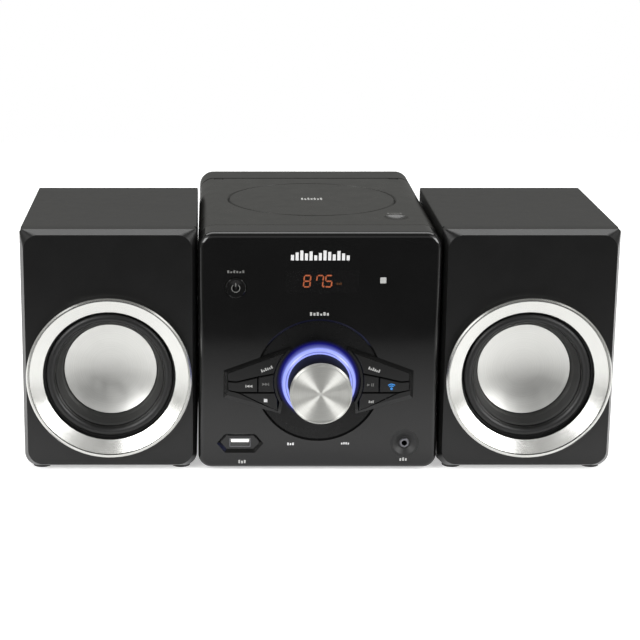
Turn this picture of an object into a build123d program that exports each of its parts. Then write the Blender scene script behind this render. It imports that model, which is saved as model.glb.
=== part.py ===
from build123d import *
import math
import os

os.makedirs("parts", exist_ok=True)

# A compact shelf stereo: a centre unit with a top-loading disc well, and two
# separate speakers that stand beside it. Millimetres, +Z up, front towards -Y.
# The origin is on the table, at the middle of the whole set's footprint.

# ---------------------------------------------------------------- centre unit
MAIN_WIDTH = 153.0
MAIN_HEIGHT = 155.0
MAIN_DEPTH = 216.0
MAIN_TOP_RADIUS = 10.0
MAIN_BASE_RADIUS = 8.5
FOOT_HEIGHT = 2.0
FOOT_RADIUS = 6.0
SHELL_WALL = 2.5
SHELL_REAR_ROUNDING = 1.5
BEZEL_DEPTH = 23.0
BEZEL_WALL = 4.0
BEZEL_ROUNDING = 4.0
KNOB_REACH = 30.0
SOCKET_REACH = 8.0

# Where the front face stands, front to back.
FRONT_Y = KNOB_REACH - (MAIN_DEPTH + KNOB_REACH + SOCKET_REACH) / 2

# How far a cutting shape runs past a face, and an added shape sinks into its neighbour.
OVERCUT = 1.0
OVERLAP = 1.0
SMALLEST_CORNER = 0.5

# ------------------------------------------------------------ front controls
KNOB_HEIGHT = 58.9
KNOB_RADIUS = 19.5
KNOB_CAP_THICKNESS = 2.4
KNOB_CAP_CHAMFER = 0.6
KNOB_RIM_WIDTH = 0.6
KNOB_RIM_STEP = 0.3
KNOB_RIM_SLOPE = 0.4
KNOB_WALL = 2.4
KNOB_WEB = 3.0
KNOB_HUB_WALL = 2.6
KNOB_HUB_SETBACK = 2.0
KNOB_BASE_EDGE = 0.6
KNOB_CLEARANCE = 2.0
PLATE_RADIUS = 39.0
PLATE_POCKET_RADIUS = 39.2
PLATE_STEP_RADIUS = 37.5
PLATE_SINK = 0.7
PLATE_RIM_BEVEL = 1.2
PLATE_GAP = 0.1
PLATE_STEP_DEPTH = 2.0
PLATE_BACK_DEPTH = 3.7
LIGHT_RING_INNER = 19.9
LIGHT_RING_OUTER = 24.0
LIGHT_RING_BACK = 3.0
# Raised collar: inner lip, fine line, then a rounded shoulder, as depth and radius.
LIGHT_RING_LIP = [(-8.8, 19.9), (-8.8, 20.2), (-8.3, 20.45)]
LIGHT_RING_SHOULDER = [(-8.6, 20.8), (-8.0, 22.0), (-6.9, 22.9), (-5.4, 23.5)]
SHAFT_RADIUS = 3.0
SHAFT_CLEARANCE = 0.05
SHAFT_SLEEVE = 0.5
SHAFT_END_GAP = 0.4
SHAFT_TIP_DEPTH = -14.0
SHAFT_BACK_DEPTH = 8.8

WING_PROUD = 2.6
WING_EDGE_PROUD = 0.4
WING_INNER_RADIUS = 26.8
KEY_INNER_RADIUS = 28.3
KEY_PROUD = 2.9
KEY_BACK_DEPTH = 6.2
KEY_EDGE = 0.35
KEY_GAP = 0.3
WING_OUTLINE = [(60.4, 65.3), (59.2, 65.9), (18.0, 81.3), (24.0, 37.0), (59.8, 47.2), (60.4, 48.0)]
KEY_FIELD = [(57.9, 64.8), (20.0, 79.0), (25.7, 38.9), (30.8, 41.2), (50.6, 51.0), (57.9, 52.9)]
# Each bevelled side of a wing: where it starts and ends, and how wide the bevel is.
WING_BEVELS = [
    ((59.2, 65.9), (18.0, 81.3), 1.3),
    ((60.4, 48.0), (60.4, 65.3), 2.3),
    ((24.0, 37.0), (59.8, 47.2), 3.2),
]
KEY_SHAPES = {
    "upper": [(57.6, 64.5), (20.4, 78.4), (23.0, 65.3), (38.6, 62.2), (52.3, 58.9), (57.6, 59.5)],
    "outer": [(57.6, 58.9), (52.3, 58.3), (38.8, 61.5), (38.8, 51.9), (50.5, 51.9), (57.6, 53.3)],
    "inner": [(38.3, 61.7), (25.0, 64.3), (25.0, 51.9), (38.3, 51.9)],
    "lower": [(50.0, 51.3), (26.0, 51.3), (26.0, 39.6), (30.6, 41.6)],
}
KEY_NAMES = {
    "left": {"upper": "key_memory", "outer": "key_previous", "inner": "key_next", "lower": "key_stop"},
    "right": {"upper": "key_source", "outer": "key_wireless", "inner": "key_play", "lower": "key_tone"},
}
SWITCH_SPOTS = {
    "upper": (43.0, 66.5),
    "outer": (47.0, 55.8),
    "inner": (31.8, 57.8),
    "lower": (36.0, 47.2),
}
SWITCH_SIZE = 6.0
SWITCH_HEIGHT = 3.6
SWITCH_STEM_RADIUS = 1.7
SWITCH_STEM_DEPTH = 7.1
ENCODER_RADIUS = 6.4
ENCODER_FRONT_DEPTH = 5.5

STANDBY_X = -52.8
STANDBY_HEIGHT = 119.5
STANDBY_RADIUS = 6.5
STANDBY_GAP = 0.35
STANDBY_PROUD = 0.8
STANDBY_DISH = 0.5
STANDBY_EDGE = 0.5
STANDBY_RIM = 0.7

DISPLAY_X = 1.5
DISPLAY_HEIGHT = 123.5
WINDOW_WIDTH = 46.0
WINDOW_HEIGHT = 15.0
WINDOW_THICKNESS = 2.0
MODULE_WIDTH = 50.0
MODULE_HEIGHT = 18.0
MODULE_FRONT_DEPTH = 4.6

BOARD_DEPTH = 12.0
BOARD_THICKNESS = 1.6
BOARD_HALF_WIDTH = 69.0
BOARD_BASE = 8.0
BOARD_TOP = 136.0
BOARD_CUTOUT_MARGIN = 1.0
POST_RADIUS = 3.5
POST_HOLE_RADIUS = 1.25
POST_SPOTS = [(-64.0, 30.0), (64.0, 30.0), (-64.0, 128.0), (64.0, 128.0)]

# ------------------------------------------------------------ front sockets
SOCKET_HEIGHT = 16.9
USB_X = -49.7
USB_WIDTH = 13.4
USB_TALL = 6.0
USB_WALL = 0.4
USB_LENGTH = 14.0
USB_RECESS_DEPTH = 2.2
USB_RECESS_MOUTH = (15.0, 9.65, 6.4)
USB_RECESS_FLOOR = (12.4, 8.6, 4.4)
USB_TONGUE_WIDTH = 11.2
USB_TONGUE_THICKNESS = 1.9
USB_TONGUE_RISE = 1.1
USB_TONGUE_SETBACK = 0.3
USB_SHELL_PROUD = 0.4
USB_BLOCK_LENGTH = 3.6

AUX_X = 55.8
AUX_BORE_RADIUS = 1.8
AUX_NOSE_RADIUS = 3.2
AUX_DISH_RADIUS = 7.6
AUX_DISH_FLOOR = 4.2
AUX_DISH_DEPTH = 2.0
AUX_NOSE_DEPTH = 0.6
AUX_NOSE_EDGE = 0.5
AUX_BODY_DEPTH = 4.2
AUX_BORE_END = 15.6
AUX_BODY_END = 17.0
AUX_BODY_WIDTH = 11.0
AUX_BODY_TALL = 9.0

# ---------------------------------------------------------------- disc side
DISC_DEPTH = 109.5
LID_FRONT_DEPTH = 23.6
LID_REAR_DEPTH = 187.5
STRIP_DEPTH = 187.8
LID_SPLIT = 144.5
LID_BASE = 145.3
LID_ROUNDING = 2.4
LID_REAR_BEAM = 5.5
LID_FRONT_EDGE = 0.5
GROOVE_RADIUS = 56.5
GROOVE_HALF_WIDTH = 1.2
GROOVE_DEPTH = 1.2
GROOVE_OVERCUT = 0.2
DISH_X = 51.6
DISH_DEPTH = 47.5
DISH_RADIUS = 8.2
DISH_SINK = 2.3
DISH_SKIN = 1.0
DISH_PAD_MARGIN = 1.5
HINGE_INSET = 2.5
HINGE_DEPTH = LID_REAR_DEPTH - HINGE_INSET
HINGE_HEIGHT = MAIN_HEIGHT - HINGE_INSET
HINGE_PIN_RADIUS = 1.0
HINGE_PIN_CLEARANCE = 0.05
HINGE_PIN_START = 54.0
HINGE_PIN_LENGTH = 16.0
HINGE_PIN_END_GAP = 0.2
LUG_RADIUS = 2.1
LUG_START = 60.0
LUG_WIDTH = 5.4
LUG_GAP = 0.5
LUG_NOTCH = 3.5
HOOK_WIDTH = 6.0
HOOK_THICKNESS = 3.0
HOOK_TIP = 133.0
LATCH_WIDTH = 15.0
LATCH_LENGTH = 15.0
LATCH_BASE = 126.0
LATCH_TOP = 141.0
LATCH_POCKET = 9.0
LATCH_FLOOR = 2.0

TRAY_TOP = 143.6
TRAY_SHEET = 2.2
TRAY_HALF_WIDTH = 73.7
TRAY_FRONT_DEPTH = 26.5
TRAY_REAR_DEPTH = 187.0
WELL_RADIUS = 62.0
WELL_FLOOR = 131.0
WELL_WALL = 2.0
WELL_RIM = 1.0
SPINDLE_HOLE_RADIUS = 16.0
LASER_SLOT_LENGTH = 61.0
LASER_SLOT_WIDTH = 30.0

TABLE_RADIUS = 14.0
TABLE_BASE = 131.2
TABLE_TOP = 133.2
HUB_RADIUS = 7.3
HUB_TOP = 136.6
HUB_EDGE = 1.6
SPINDLE_RADIUS = 1.0
SPINDLE_FLOOR = 2.0
SPINDLE_END_GAP = 1.0
MOTOR_RADIUS = 11.0
MOTOR_BASE = 109.0
MOTOR_TOP = 118.0
MOTOR_BOSS_RADIUS = 3.0
MOTOR_BOSS_TOP = 121.0

CHASSIS_BASE = 118.0
CHASSIS_TOP = 122.0
CHASSIS_LEFT = -52.0
CHASSIS_RIGHT = 72.0
CHASSIS_HALF_DEPTH = 42.0
SLED_OPENING_START = 17.0
SLED_OPENING_END = 70.0
SLED_OPENING_HALF = 18.0
MOTOR_HOLE_RADIUS = 3.6
SLED_START = 18.0
SLED_LENGTH = 18.0
SLED_HALF_WIDTH = 17.0
SLED_BASE = 116.5
SLED_TOP = 125.5
LENS_X = 25.5
LENS_RADIUS = 3.2
LENS_TOP = 128.0
ROD_RADIUS = 1.5
ROD_CLEARANCE = 0.05
ROD_HEIGHT = 120.0
ROD_OFFSET = 14.0
ROD_SEAT = 2.0
LENS_EDGE = 0.6
DAMPER_RADIUS = 4.0
DAMPER_X = 42.0
DAMPER_OFFSET = 36.0

# ------------------------------------------------------- inside and the rear
MAIN_BOARD_BASE = 14.0
MAIN_BOARD_LEFT = -16.0
MAIN_BOARD_RIGHT = 70.0
MAIN_BOARD_FRONT = 40.0
MAIN_BOARD_REAR = 205.0
# Each block on the board: across, back, its width across and its height.
CHIP_SPOTS = [
    (10.0, 70.0, 24.0, 3.6),
    (44.0, 70.0, 16.0, 3.6),
    (30.0, 120.0, 30.0, 4.6),
    (28.0, 188.0, 50.0, 26.6),
]
CHIP_LENGTH = 16.0
STANDOFF_WIDTH = 7.0
STANDOFF_SPOTS = [(-10.0, 46.0), (64.0, 46.0), (-10.0, 199.0), (64.0, 199.0)]
TRANSFORMER_X = -42.0
TRANSFORMER_DEPTH = 175.0
CORE_WIDTH = 46.0
CORE_TALL = 40.0
CORE_LENGTH = 22.0
COIL_WIDTH = 30.0
COIL_TALL = 28.0
COIL_LENGTH = 38.0
RCA_X = [-10.0, 10.0]
RCA_HEIGHT = 40.0
RCA_RADIUS = 4.15
RCA_HOLE_RADIUS = 1.6
RCA_HOLE_LENGTH = 12.0
RCA_FLANGE_RADIUS = 6.5
RCA_FLANGE_THICKNESS = 1.0
RCA_BODY_RADIUS = 4.0
RCA_BODY_LENGTH = 8.0
GLAND_SPOTS = [(-46.0, 22.0, 5.0, 3.3), (40.0, 40.0, 3.0, 1.2)]
GLAND_PROUD = 3.0
GLAND_EDGE = 1.0
GLAND_FLANGE = 1.6
VENT_COUNT = 7
VENT_PITCH = 6.0
VENT_LENGTH = 70.0
VENT_WIDTH = 2.2
VENT_BASE = 78.0

# ------------------------------------------------------------------ speakers
SPEAKER_WIDTH = 111.0
SPEAKER_HEIGHT = 156.0
SPEAKER_DEPTH = 145.0
SPEAKER_GAP = 0.9
SPEAKER_X = MAIN_WIDTH / 2 + SPEAKER_GAP + SPEAKER_WIDTH / 2
BAFFLE_DEPTH = 14.0
BAFFLE_LIP = 4.5
BAFFLE_SKIN = 4.0
BAFFLE_EDGE = 6.0
BAFFLE_TOP_RADIUS = 2.0
BAFFLE_BASE_RADIUS = 9.0
FACE_INSET = 2.6
FACE_RADIUS = 9.5
BOX_WALL = 9.0
BOX_TOP_RADIUS = 1.0
BOX_BASE_RADIUS = 6.0

DRIVER_HEIGHT = 62.0
RING_RADIUS = 52.4
RING_REACH = 7.5
RING_LIP = 0.9
RING_BEAD_INNER = 50.6
RING_BAND_OUTER = 50.3
RING_BAND_FRONT = -6.0
RING_INNER_RADIUS = 42.2
RING_INNER_DEPTH = -1.5
RING_NOSE_RADIUS = 43.8
RING_NOSE_DEPTH = 0.6
BAFFLE_HOLE_RADIUS = 44.0
SURROUND_RADIUS = 43.5
SURROUND_ROLL_OUTER = 40.8
SURROUND_INNER = 34.6
SURROUND_FRONT_DEPTH = 2.7
SURROUND_THICKNESS = 1.2
# Cone and voice coil former, as depth and radius: down the front, then back up behind.
CONE_RIM = [(3.9, 34.25), (5.2, 33.2), (10.0, 31.0), (14.6, 30.3), (17.0, 29.9)]
CONE_FRONT = [(18.2, 28.4), (27.0, 12.4), (44.0, 12.4)]
CONE_BACK = [
    (44.0, 12.9),
    (28.4, 12.9),
    (19.4, 29.0),
    (18.2, 31.0),
    (14.8, 31.5),
    (10.6, 32.2),
    (6.6, 34.25),
]
CAP_RADIUS = 29.6
CAP_RIM_DEPTH = 15.6
CAP_DISH = 5.0
CAP_THICKNESS = 1.0
FRAME_FLANGE_RADIUS = 50.0
FRAME_FLANGE_DEPTH = 4.0
FRAME_SHEET = 1.6
FRAME_MOUTH_RADIUS = 42.0
FRAME_BACK_RADIUS = 25.0
FRAME_BACK_DEPTH = 34.0
POLE_PROUD = 3.0
FRAME_WINDOW_COUNT = 4
FRAME_WINDOW_RADIUS = 9.0
MAGNET_RADIUS = 30.0
MAGNET_BACK_DEPTH = 52.0
GAP_RADIUS = 13.6
POLE_RADIUS = 11.7
MAGNET_WELL_DEPTH = 47.5
SPEAKER_FOOT_SPOTS = [(-45.0, 14.0), (45.0, 14.0), (-45.0, 132.0), (45.0, 132.0)]
MAIN_FOOT_SPOTS = [(-60.0, 18.0), (60.0, 18.0), (-60.0, 202.0), (60.0, 202.0)]
SPEAKER_GLAND_HEIGHT = 40.0
SPEAKER_GLAND_RADIUS = 3.2


# ----------------------------------------------------------- working planes
def facing(depth):
    """Plane parallel to the front, depth behind it: x across, y up from the cabinet base."""
    return Plane(origin=(0, FRONT_Y + depth, FOOT_HEIGHT), x_dir=(1, 0, 0), z_dir=(0, -1, 0))


def level(height):
    """Level plane, height above the cabinet base: x across, y back from the front face."""
    return Plane(origin=(0, FRONT_Y, FOOT_HEIGHT + height), x_dir=(1, 0, 0), z_dir=(0, 0, 1))


def upright(x):
    """Plane parallel to the sides: x back from the front face, y up from the cabinet base."""
    return Plane(origin=(x, FRONT_Y, FOOT_HEIGHT), x_dir=(0, 1, 0), z_dir=(1, 0, 0))


# ------------------------------------------------------------ shared shapes
def save(piece, label):
    """Name a finished piece and write its own file."""
    piece.part.label = label
    export_step(piece.part, "parts/" + label + ".step")


def standing_outline(plane, width, height, top_radius, base_radius, inset=0.0, x=0.0):
    """Front outline of a cabinet that stands on the base line, inset all round."""
    with BuildSketch(plane) as outline:
        with Locations((x, height / 2)):
            Rectangle(width - 2 * inset, height - 2 * inset)
        fillet(outline.vertices().group_by(Axis.Y)[-1], max(top_radius - inset, SMALLEST_CORNER))
        fillet(outline.vertices().group_by(Axis.Y)[0], max(base_radius - inset, SMALLEST_CORNER))
    return outline.sketch


def main_outline(depth, inset=0.0):
    """Outline of the centre unit at one depth."""
    return standing_outline(
        facing(depth), MAIN_WIDTH, MAIN_HEIGHT, MAIN_TOP_RADIUS, MAIN_BASE_RADIUS, inset
    )


def turned(x, height, points):
    """Ring or plug turned about a front-to-back axis, from (depth, radius) points."""
    with BuildPart() as solid:
        with BuildSketch(upright(x)):
            with BuildLine():
                Polyline(*[(depth, height + radius) for depth, radius in points], close=True)
            make_face()
        revolve(axis=Axis((x, FRONT_Y, FOOT_HEIGHT + height), (0, 1, 0)))
    return solid.part


def turned_upright(x, depth, points):
    """Ring or plug turned about a vertical axis, from (height, radius) points."""
    with BuildPart() as solid:
        with BuildSketch(upright(x)):
            with BuildLine():
                Polyline(*[(depth + radius, height) for height, radius in points], close=True)
            make_face()
        revolve(axis=Axis((x, FRONT_Y + depth, FOOT_HEIGHT), (0, 0, 1)))
    return solid.part


def tube(x, height, start_depth, end_depth, outer, inner):
    """Plain round sleeve about a front-to-back axis."""
    corners = [(start_depth, inner), (start_depth, outer), (end_depth, outer), (end_depth, inner)]
    return turned(x, height, corners)


def plug(x, height, start_depth, end_depth, radius):
    """Plain round bar about a front-to-back axis."""
    return tube(x, height, start_depth, end_depth, radius, 0)


def block(x, depth, base, width, length, tall):
    """Plain block from its middle across and back, and its underside."""
    with BuildPart() as solid:
        with BuildSketch(level(base)):
            with Locations((x, depth)):
                Rectangle(width, length)
        extrude(amount=tall)
    return solid.part


def mirrored(points, side):
    """The same outline for the left (-1) or right (+1) side."""
    return [(side * x, height) for x, height in points]


def ring_side_shape(plane, points, side, inner_radius):
    """Wing outline with its inner end cut round, about the knob."""
    with BuildSketch(plane) as shape:
        with BuildLine():
            Polyline(*mirrored(points, side), close=True)
        make_face()
        with Locations((0, KNOB_HEIGHT)):
            Circle(inner_radius, mode=Mode.SUBTRACT)
    return shape.sketch


def usb_recess(depth, half_sizes):
    """Six-sided mouth of the front socket recess: half width, half flat and half height."""
    half_width, half_flat, half_tall = half_sizes
    corners = [
        (half_width, 0),
        (half_flat, half_tall),
        (-half_flat, half_tall),
        (-half_width, 0),
        (-half_flat, -half_tall),
        (half_flat, -half_tall),
    ]
    with BuildSketch(facing(depth)) as mouth:
        with BuildLine():
            Polyline(*[(USB_X + x, SOCKET_HEIGHT + y) for x, y in corners], close=True)
        make_face()
    return mouth.sketch


# ------------------------------------------------------------- front bezel
with BuildPart() as front_bezel:
    extrude(main_outline(BEZEL_DEPTH), amount=BEZEL_DEPTH)
    fillet(front_bezel.faces().sort_by(Axis.Y)[0].edges(), BEZEL_ROUNDING)
    hollow_depth = BEZEL_DEPTH - BEZEL_WALL
    extrude(main_outline(BEZEL_DEPTH, SHELL_WALL), amount=hollow_depth, mode=Mode.SUBTRACT)
    for spot_x, spot_height in POST_SPOTS:
        add(plug(spot_x, spot_height, BEZEL_WALL - OVERLAP, BOARD_DEPTH, POST_RADIUS))
        post_hole = plug(spot_x, spot_height, BEZEL_WALL, BOARD_DEPTH + OVERCUT, POST_HOLE_RADIUS)
        add(post_hole, mode=Mode.SUBTRACT)
    # Round pocket with a bright bevelled rim, stepped for the control plate.
    rim_slope = PLATE_RIM_BEVEL / PLATE_SINK
    rim = PLATE_POCKET_RADIUS + PLATE_RIM_BEVEL + rim_slope * OVERCUT
    add(
        turned(
            0,
            KNOB_HEIGHT,
            [
                (-OVERCUT, 0),
                (-OVERCUT, rim),
                (PLATE_SINK, PLATE_POCKET_RADIUS),
                (PLATE_STEP_DEPTH, PLATE_POCKET_RADIUS),
                (PLATE_STEP_DEPTH, PLATE_STEP_RADIUS),
                (BEZEL_WALL + OVERCUT, PLATE_STEP_RADIUS),
                (BEZEL_WALL + OVERCUT, 0),
            ],
        ),
        mode=Mode.SUBTRACT,
    )
    for side in (-1, 1):
        extrude(
            ring_side_shape(facing(BEZEL_WALL + OVERCUT), KEY_FIELD, side, KEY_INNER_RADIUS),
            amount=BEZEL_WALL + 2 * OVERCUT,
            mode=Mode.SUBTRACT,
        )
    add(
        plug(STANDBY_X, STANDBY_HEIGHT, -OVERCUT, BEZEL_WALL + OVERCUT, STANDBY_RADIUS + STANDBY_GAP),
        mode=Mode.SUBTRACT,
    )
    with BuildSketch(facing(BEZEL_WALL + OVERCUT)):
        with Locations((DISPLAY_X, DISPLAY_HEIGHT)):
            Rectangle(WINDOW_WIDTH, WINDOW_HEIGHT)
        with Locations((USB_X, SOCKET_HEIGHT)):
            Rectangle(USB_WIDTH, USB_TALL)
    extrude(amount=BEZEL_WALL + 2 * OVERCUT, mode=Mode.SUBTRACT)
    recess_mouth = usb_recess(0, USB_RECESS_MOUTH)
    recess_floor = usb_recess(USB_RECESS_DEPTH, USB_RECESS_FLOOR)
    loft([recess_mouth, recess_floor], mode=Mode.SUBTRACT)
    dish_slope = (AUX_DISH_RADIUS - AUX_DISH_FLOOR) / AUX_DISH_DEPTH
    add(
        turned(
            AUX_X,
            SOCKET_HEIGHT,
            [
                (-OVERCUT, 0),
                (-OVERCUT, AUX_DISH_RADIUS + dish_slope * OVERCUT),
                (AUX_DISH_DEPTH, AUX_DISH_FLOOR),
                (AUX_DISH_DEPTH, AUX_NOSE_RADIUS),
                (BEZEL_WALL + OVERCUT, AUX_NOSE_RADIUS),
                (BEZEL_WALL + OVERCUT, 0),
            ],
        ),
        mode=Mode.SUBTRACT,
    )
save(front_bezel, "front_bezel")

# ----------------------------------------------- control plate and light ring
with BuildPart() as control_plate:
    add(
        turned(
            0,
            KNOB_HEIGHT,
            [
                (PLATE_SINK, 0),
                (PLATE_SINK, PLATE_RADIUS),
                (PLATE_STEP_DEPTH, PLATE_RADIUS),
                (PLATE_STEP_DEPTH, PLATE_STEP_RADIUS),
                (PLATE_BACK_DEPTH, PLATE_STEP_RADIUS),
                (PLATE_BACK_DEPTH, 0),
            ],
        )
    )
    ring_seat = tube(0, KNOB_HEIGHT, 0, LIGHT_RING_BACK, LIGHT_RING_OUTER, LIGHT_RING_INNER)
    add(ring_seat, mode=Mode.SUBTRACT)
    add(plug(0, KNOB_HEIGHT, 0, BEZEL_WALL, SHAFT_RADIUS + SHAFT_SLEEVE), mode=Mode.SUBTRACT)
    for side in (-1, 1):
        extrude(
            ring_side_shape(facing(BEZEL_WALL), KEY_FIELD, side, KEY_INNER_RADIUS),
            amount=BEZEL_WALL,
            mode=Mode.SUBTRACT,
        )
save(control_plate, "control_plate")

with BuildPart() as light_ring:
    add(
        turned(
            0,
            KNOB_HEIGHT,
            [
                (LIGHT_RING_BACK, LIGHT_RING_INNER),
                *LIGHT_RING_LIP,
                *LIGHT_RING_SHOULDER,
                (0, LIGHT_RING_OUTER),
                (LIGHT_RING_BACK, LIGHT_RING_OUTER),
            ],
        )
    )
save(light_ring, "light_ring")


# --------------------------------------------------------- wings and their keys
def bevel_plane(start, end, width, side):
    """Sloping plane that cuts one side of a wing down to a thin edge."""
    run = Vector(side * (end[0] - start[0]), 0, end[1] - start[1]).normalized()
    outward = Vector(0, 1, 0).cross(run) * side
    rise = WING_PROUD - WING_EDGE_PROUD
    normal = (outward * rise + Vector(0, -1, 0) * width).normalized()
    corner = Vector(side * start[0], FRONT_Y - WING_EDGE_PROUD, FOOT_HEIGHT + start[1])
    return Plane(origin=corner, z_dir=normal)


for side_name, side in (("left", -1), ("right", 1)):
    with BuildPart() as wing_frame:
        extrude(ring_side_shape(facing(0), WING_OUTLINE, side, WING_INNER_RADIUS), amount=WING_PROUD)
        for bevel_start, bevel_end, bevel_width in WING_BEVELS:
            split(bisect_by=bevel_plane(bevel_start, bevel_end, bevel_width, side), keep=Keep.BOTTOM)
        # The inner part stands in the sunk plate, so it reaches a little further back.
        with BuildSketch(facing(PLATE_SINK)):
            add(ring_side_shape(Plane.XY, WING_OUTLINE, side, WING_INNER_RADIUS))
            with Locations((0, KNOB_HEIGHT)):
                Circle(PLATE_RADIUS - PLATE_GAP, mode=Mode.INTERSECT)
        extrude(amount=PLATE_SINK)
        extrude(
            ring_side_shape(facing(BEZEL_WALL), KEY_FIELD, side, KEY_INNER_RADIUS),
            amount=BEZEL_WALL + WING_PROUD + OVERCUT,
            mode=Mode.SUBTRACT,
        )
    save(wing_frame, "wing_frame_" + side_name)

    for place, corners in KEY_SHAPES.items():
        with BuildPart() as key:
            extrude(
                ring_side_shape(facing(KEY_BACK_DEPTH), corners, side, KEY_INNER_RADIUS + KEY_GAP),
                amount=KEY_BACK_DEPTH + KEY_PROUD,
            )
            chamfer(key.faces().sort_by(Axis.Y)[0].edges(), KEY_EDGE)
        save(key, KEY_NAMES[side_name][place])

with BuildPart() as standby_button:
    add(
        turned(
            STANDBY_X,
            STANDBY_HEIGHT,
            [
                (KEY_BACK_DEPTH, 0),
                (KEY_BACK_DEPTH, STANDBY_RADIUS),
                (-STANDBY_PROUD + STANDBY_EDGE, STANDBY_RADIUS),
                (-STANDBY_PROUD, STANDBY_RADIUS - STANDBY_EDGE),
                (-STANDBY_PROUD, STANDBY_RADIUS - STANDBY_EDGE - STANDBY_RIM),
                (-STANDBY_PROUD + STANDBY_DISH, 0),
            ],
        )
    )
save(standby_button, "standby_button")

# ----------------------------------------------------------------- volume knob
with BuildPart() as volume_knob:
    cap_back = -KNOB_REACH + KNOB_CAP_THICKNESS
    add(
        turned(
            0,
            KNOB_HEIGHT,
            [
                (cap_back, 0),
                (cap_back, KNOB_RADIUS),
                (-KNOB_CLEARANCE - KNOB_BASE_EDGE, KNOB_RADIUS),
                (-KNOB_CLEARANCE, KNOB_RADIUS - KNOB_BASE_EDGE),
                (-KNOB_CLEARANCE, KNOB_RADIUS - KNOB_WALL),
                (cap_back + KNOB_WEB, KNOB_RADIUS - KNOB_WALL),
                (cap_back + KNOB_WEB, SHAFT_RADIUS + KNOB_HUB_WALL),
                (-KNOB_CLEARANCE - KNOB_HUB_SETBACK, SHAFT_RADIUS + KNOB_HUB_WALL),
                (-KNOB_CLEARANCE - KNOB_HUB_SETBACK, SHAFT_RADIUS),
                (SHAFT_TIP_DEPTH, SHAFT_RADIUS),
                (SHAFT_TIP_DEPTH, 0),
            ],
        )
    )
save(volume_knob, "volume_knob")

with BuildPart() as knob_cap:
    face_radius = KNOB_RADIUS - KNOB_CAP_CHAMFER - KNOB_RIM_WIDTH
    face_depth = -KNOB_REACH + KNOB_RIM_STEP
    add(
        turned(
            0,
            KNOB_HEIGHT,
            [
                (cap_back, 0),
                (cap_back, KNOB_RADIUS),
                (-KNOB_REACH + KNOB_CAP_CHAMFER, KNOB_RADIUS),
                (-KNOB_REACH, KNOB_RADIUS - KNOB_CAP_CHAMFER),
                (-KNOB_REACH, face_radius),
                (face_depth, face_radius - KNOB_RIM_SLOPE),
                (face_depth, 0),
            ],
        )
    )
save(knob_cap, "knob_cap")

with BuildPart() as encoder_shaft:
    add(plug(0, KNOB_HEIGHT, SHAFT_TIP_DEPTH, SHAFT_BACK_DEPTH, SHAFT_RADIUS))
save(encoder_shaft, "encoder_shaft")

with BuildPart() as encoder:
    add(
        turned(
            0,
            KNOB_HEIGHT,
            [
                (BOARD_DEPTH, 0),
                (BOARD_DEPTH, ENCODER_RADIUS),
                (ENCODER_FRONT_DEPTH, ENCODER_RADIUS),
                (ENCODER_FRONT_DEPTH, SHAFT_RADIUS + SHAFT_SLEEVE),
                (PLATE_SINK, SHAFT_RADIUS + SHAFT_SLEEVE),
                (PLATE_SINK, SHAFT_RADIUS + SHAFT_CLEARANCE),
                (SHAFT_BACK_DEPTH + SHAFT_END_GAP, SHAFT_RADIUS + SHAFT_CLEARANCE),
                (SHAFT_BACK_DEPTH + SHAFT_END_GAP, 0),
            ],
        )
    )
save(encoder, "encoder")

# ------------------------------------------- display, switches and front board
with BuildPart() as display_window:
    with BuildSketch(facing(WINDOW_THICKNESS)):
        with Locations((DISPLAY_X, DISPLAY_HEIGHT)):
            Rectangle(WINDOW_WIDTH, WINDOW_HEIGHT)
    extrude(amount=WINDOW_THICKNESS)
save(display_window, "display_window")

with BuildPart() as display_module:
    with BuildSketch(facing(BOARD_DEPTH)):
        with Locations((DISPLAY_X, DISPLAY_HEIGHT)):
            Rectangle(MODULE_WIDTH, MODULE_HEIGHT)
    extrude(amount=BOARD_DEPTH - MODULE_FRONT_DEPTH)
save(display_module, "display_module")

switch_spots = [(STANDBY_X, STANDBY_HEIGHT)]
for side in (-1, 1):
    switch_spots += mirrored(SWITCH_SPOTS.values(), side)

with BuildPart() as key_switches:
    with BuildSketch(facing(BOARD_DEPTH)):
        with Locations(*switch_spots):
            Rectangle(SWITCH_SIZE, SWITCH_SIZE)
    extrude(amount=SWITCH_HEIGHT)
    with BuildSketch(facing(BOARD_DEPTH - SWITCH_HEIGHT)):
        with Locations(*switch_spots):
            Circle(SWITCH_STEM_RADIUS)
    extrude(amount=BOARD_DEPTH - SWITCH_HEIGHT - SWITCH_STEM_DEPTH)
save(key_switches, "key_switches")

with BuildPart() as front_board:
    with BuildSketch(facing(BOARD_DEPTH + BOARD_THICKNESS)):
        with Locations((0, (BOARD_BASE + BOARD_TOP) / 2)):
            Rectangle(2 * BOARD_HALF_WIDTH, BOARD_TOP - BOARD_BASE)
        with Locations((USB_X, SOCKET_HEIGHT)):
            Rectangle(USB_WIDTH + BOARD_CUTOUT_MARGIN, USB_TALL + BOARD_CUTOUT_MARGIN, mode=Mode.SUBTRACT)
        with Locations((AUX_X, SOCKET_HEIGHT)):
            Rectangle(
                AUX_BODY_WIDTH + BOARD_CUTOUT_MARGIN,
                AUX_BODY_TALL + BOARD_CUTOUT_MARGIN,
                mode=Mode.SUBTRACT,
            )
        with Locations(*POST_SPOTS):
            Circle(POST_HOLE_RADIUS, mode=Mode.SUBTRACT)
    extrude(amount=BOARD_THICKNESS)
save(front_board, "front_board")

# --------------------------------------------------------------- front sockets
with BuildPart() as usb_shell:
    usb_front_depth = USB_RECESS_DEPTH - USB_SHELL_PROUD
    with BuildSketch(facing(usb_front_depth + USB_LENGTH)):
        with Locations((USB_X, SOCKET_HEIGHT)):
            Rectangle(USB_WIDTH, USB_TALL)
            Rectangle(USB_WIDTH - 2 * USB_WALL, USB_TALL - 2 * USB_WALL, mode=Mode.SUBTRACT)
    extrude(amount=USB_LENGTH)
save(usb_shell, "usb_shell")

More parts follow.
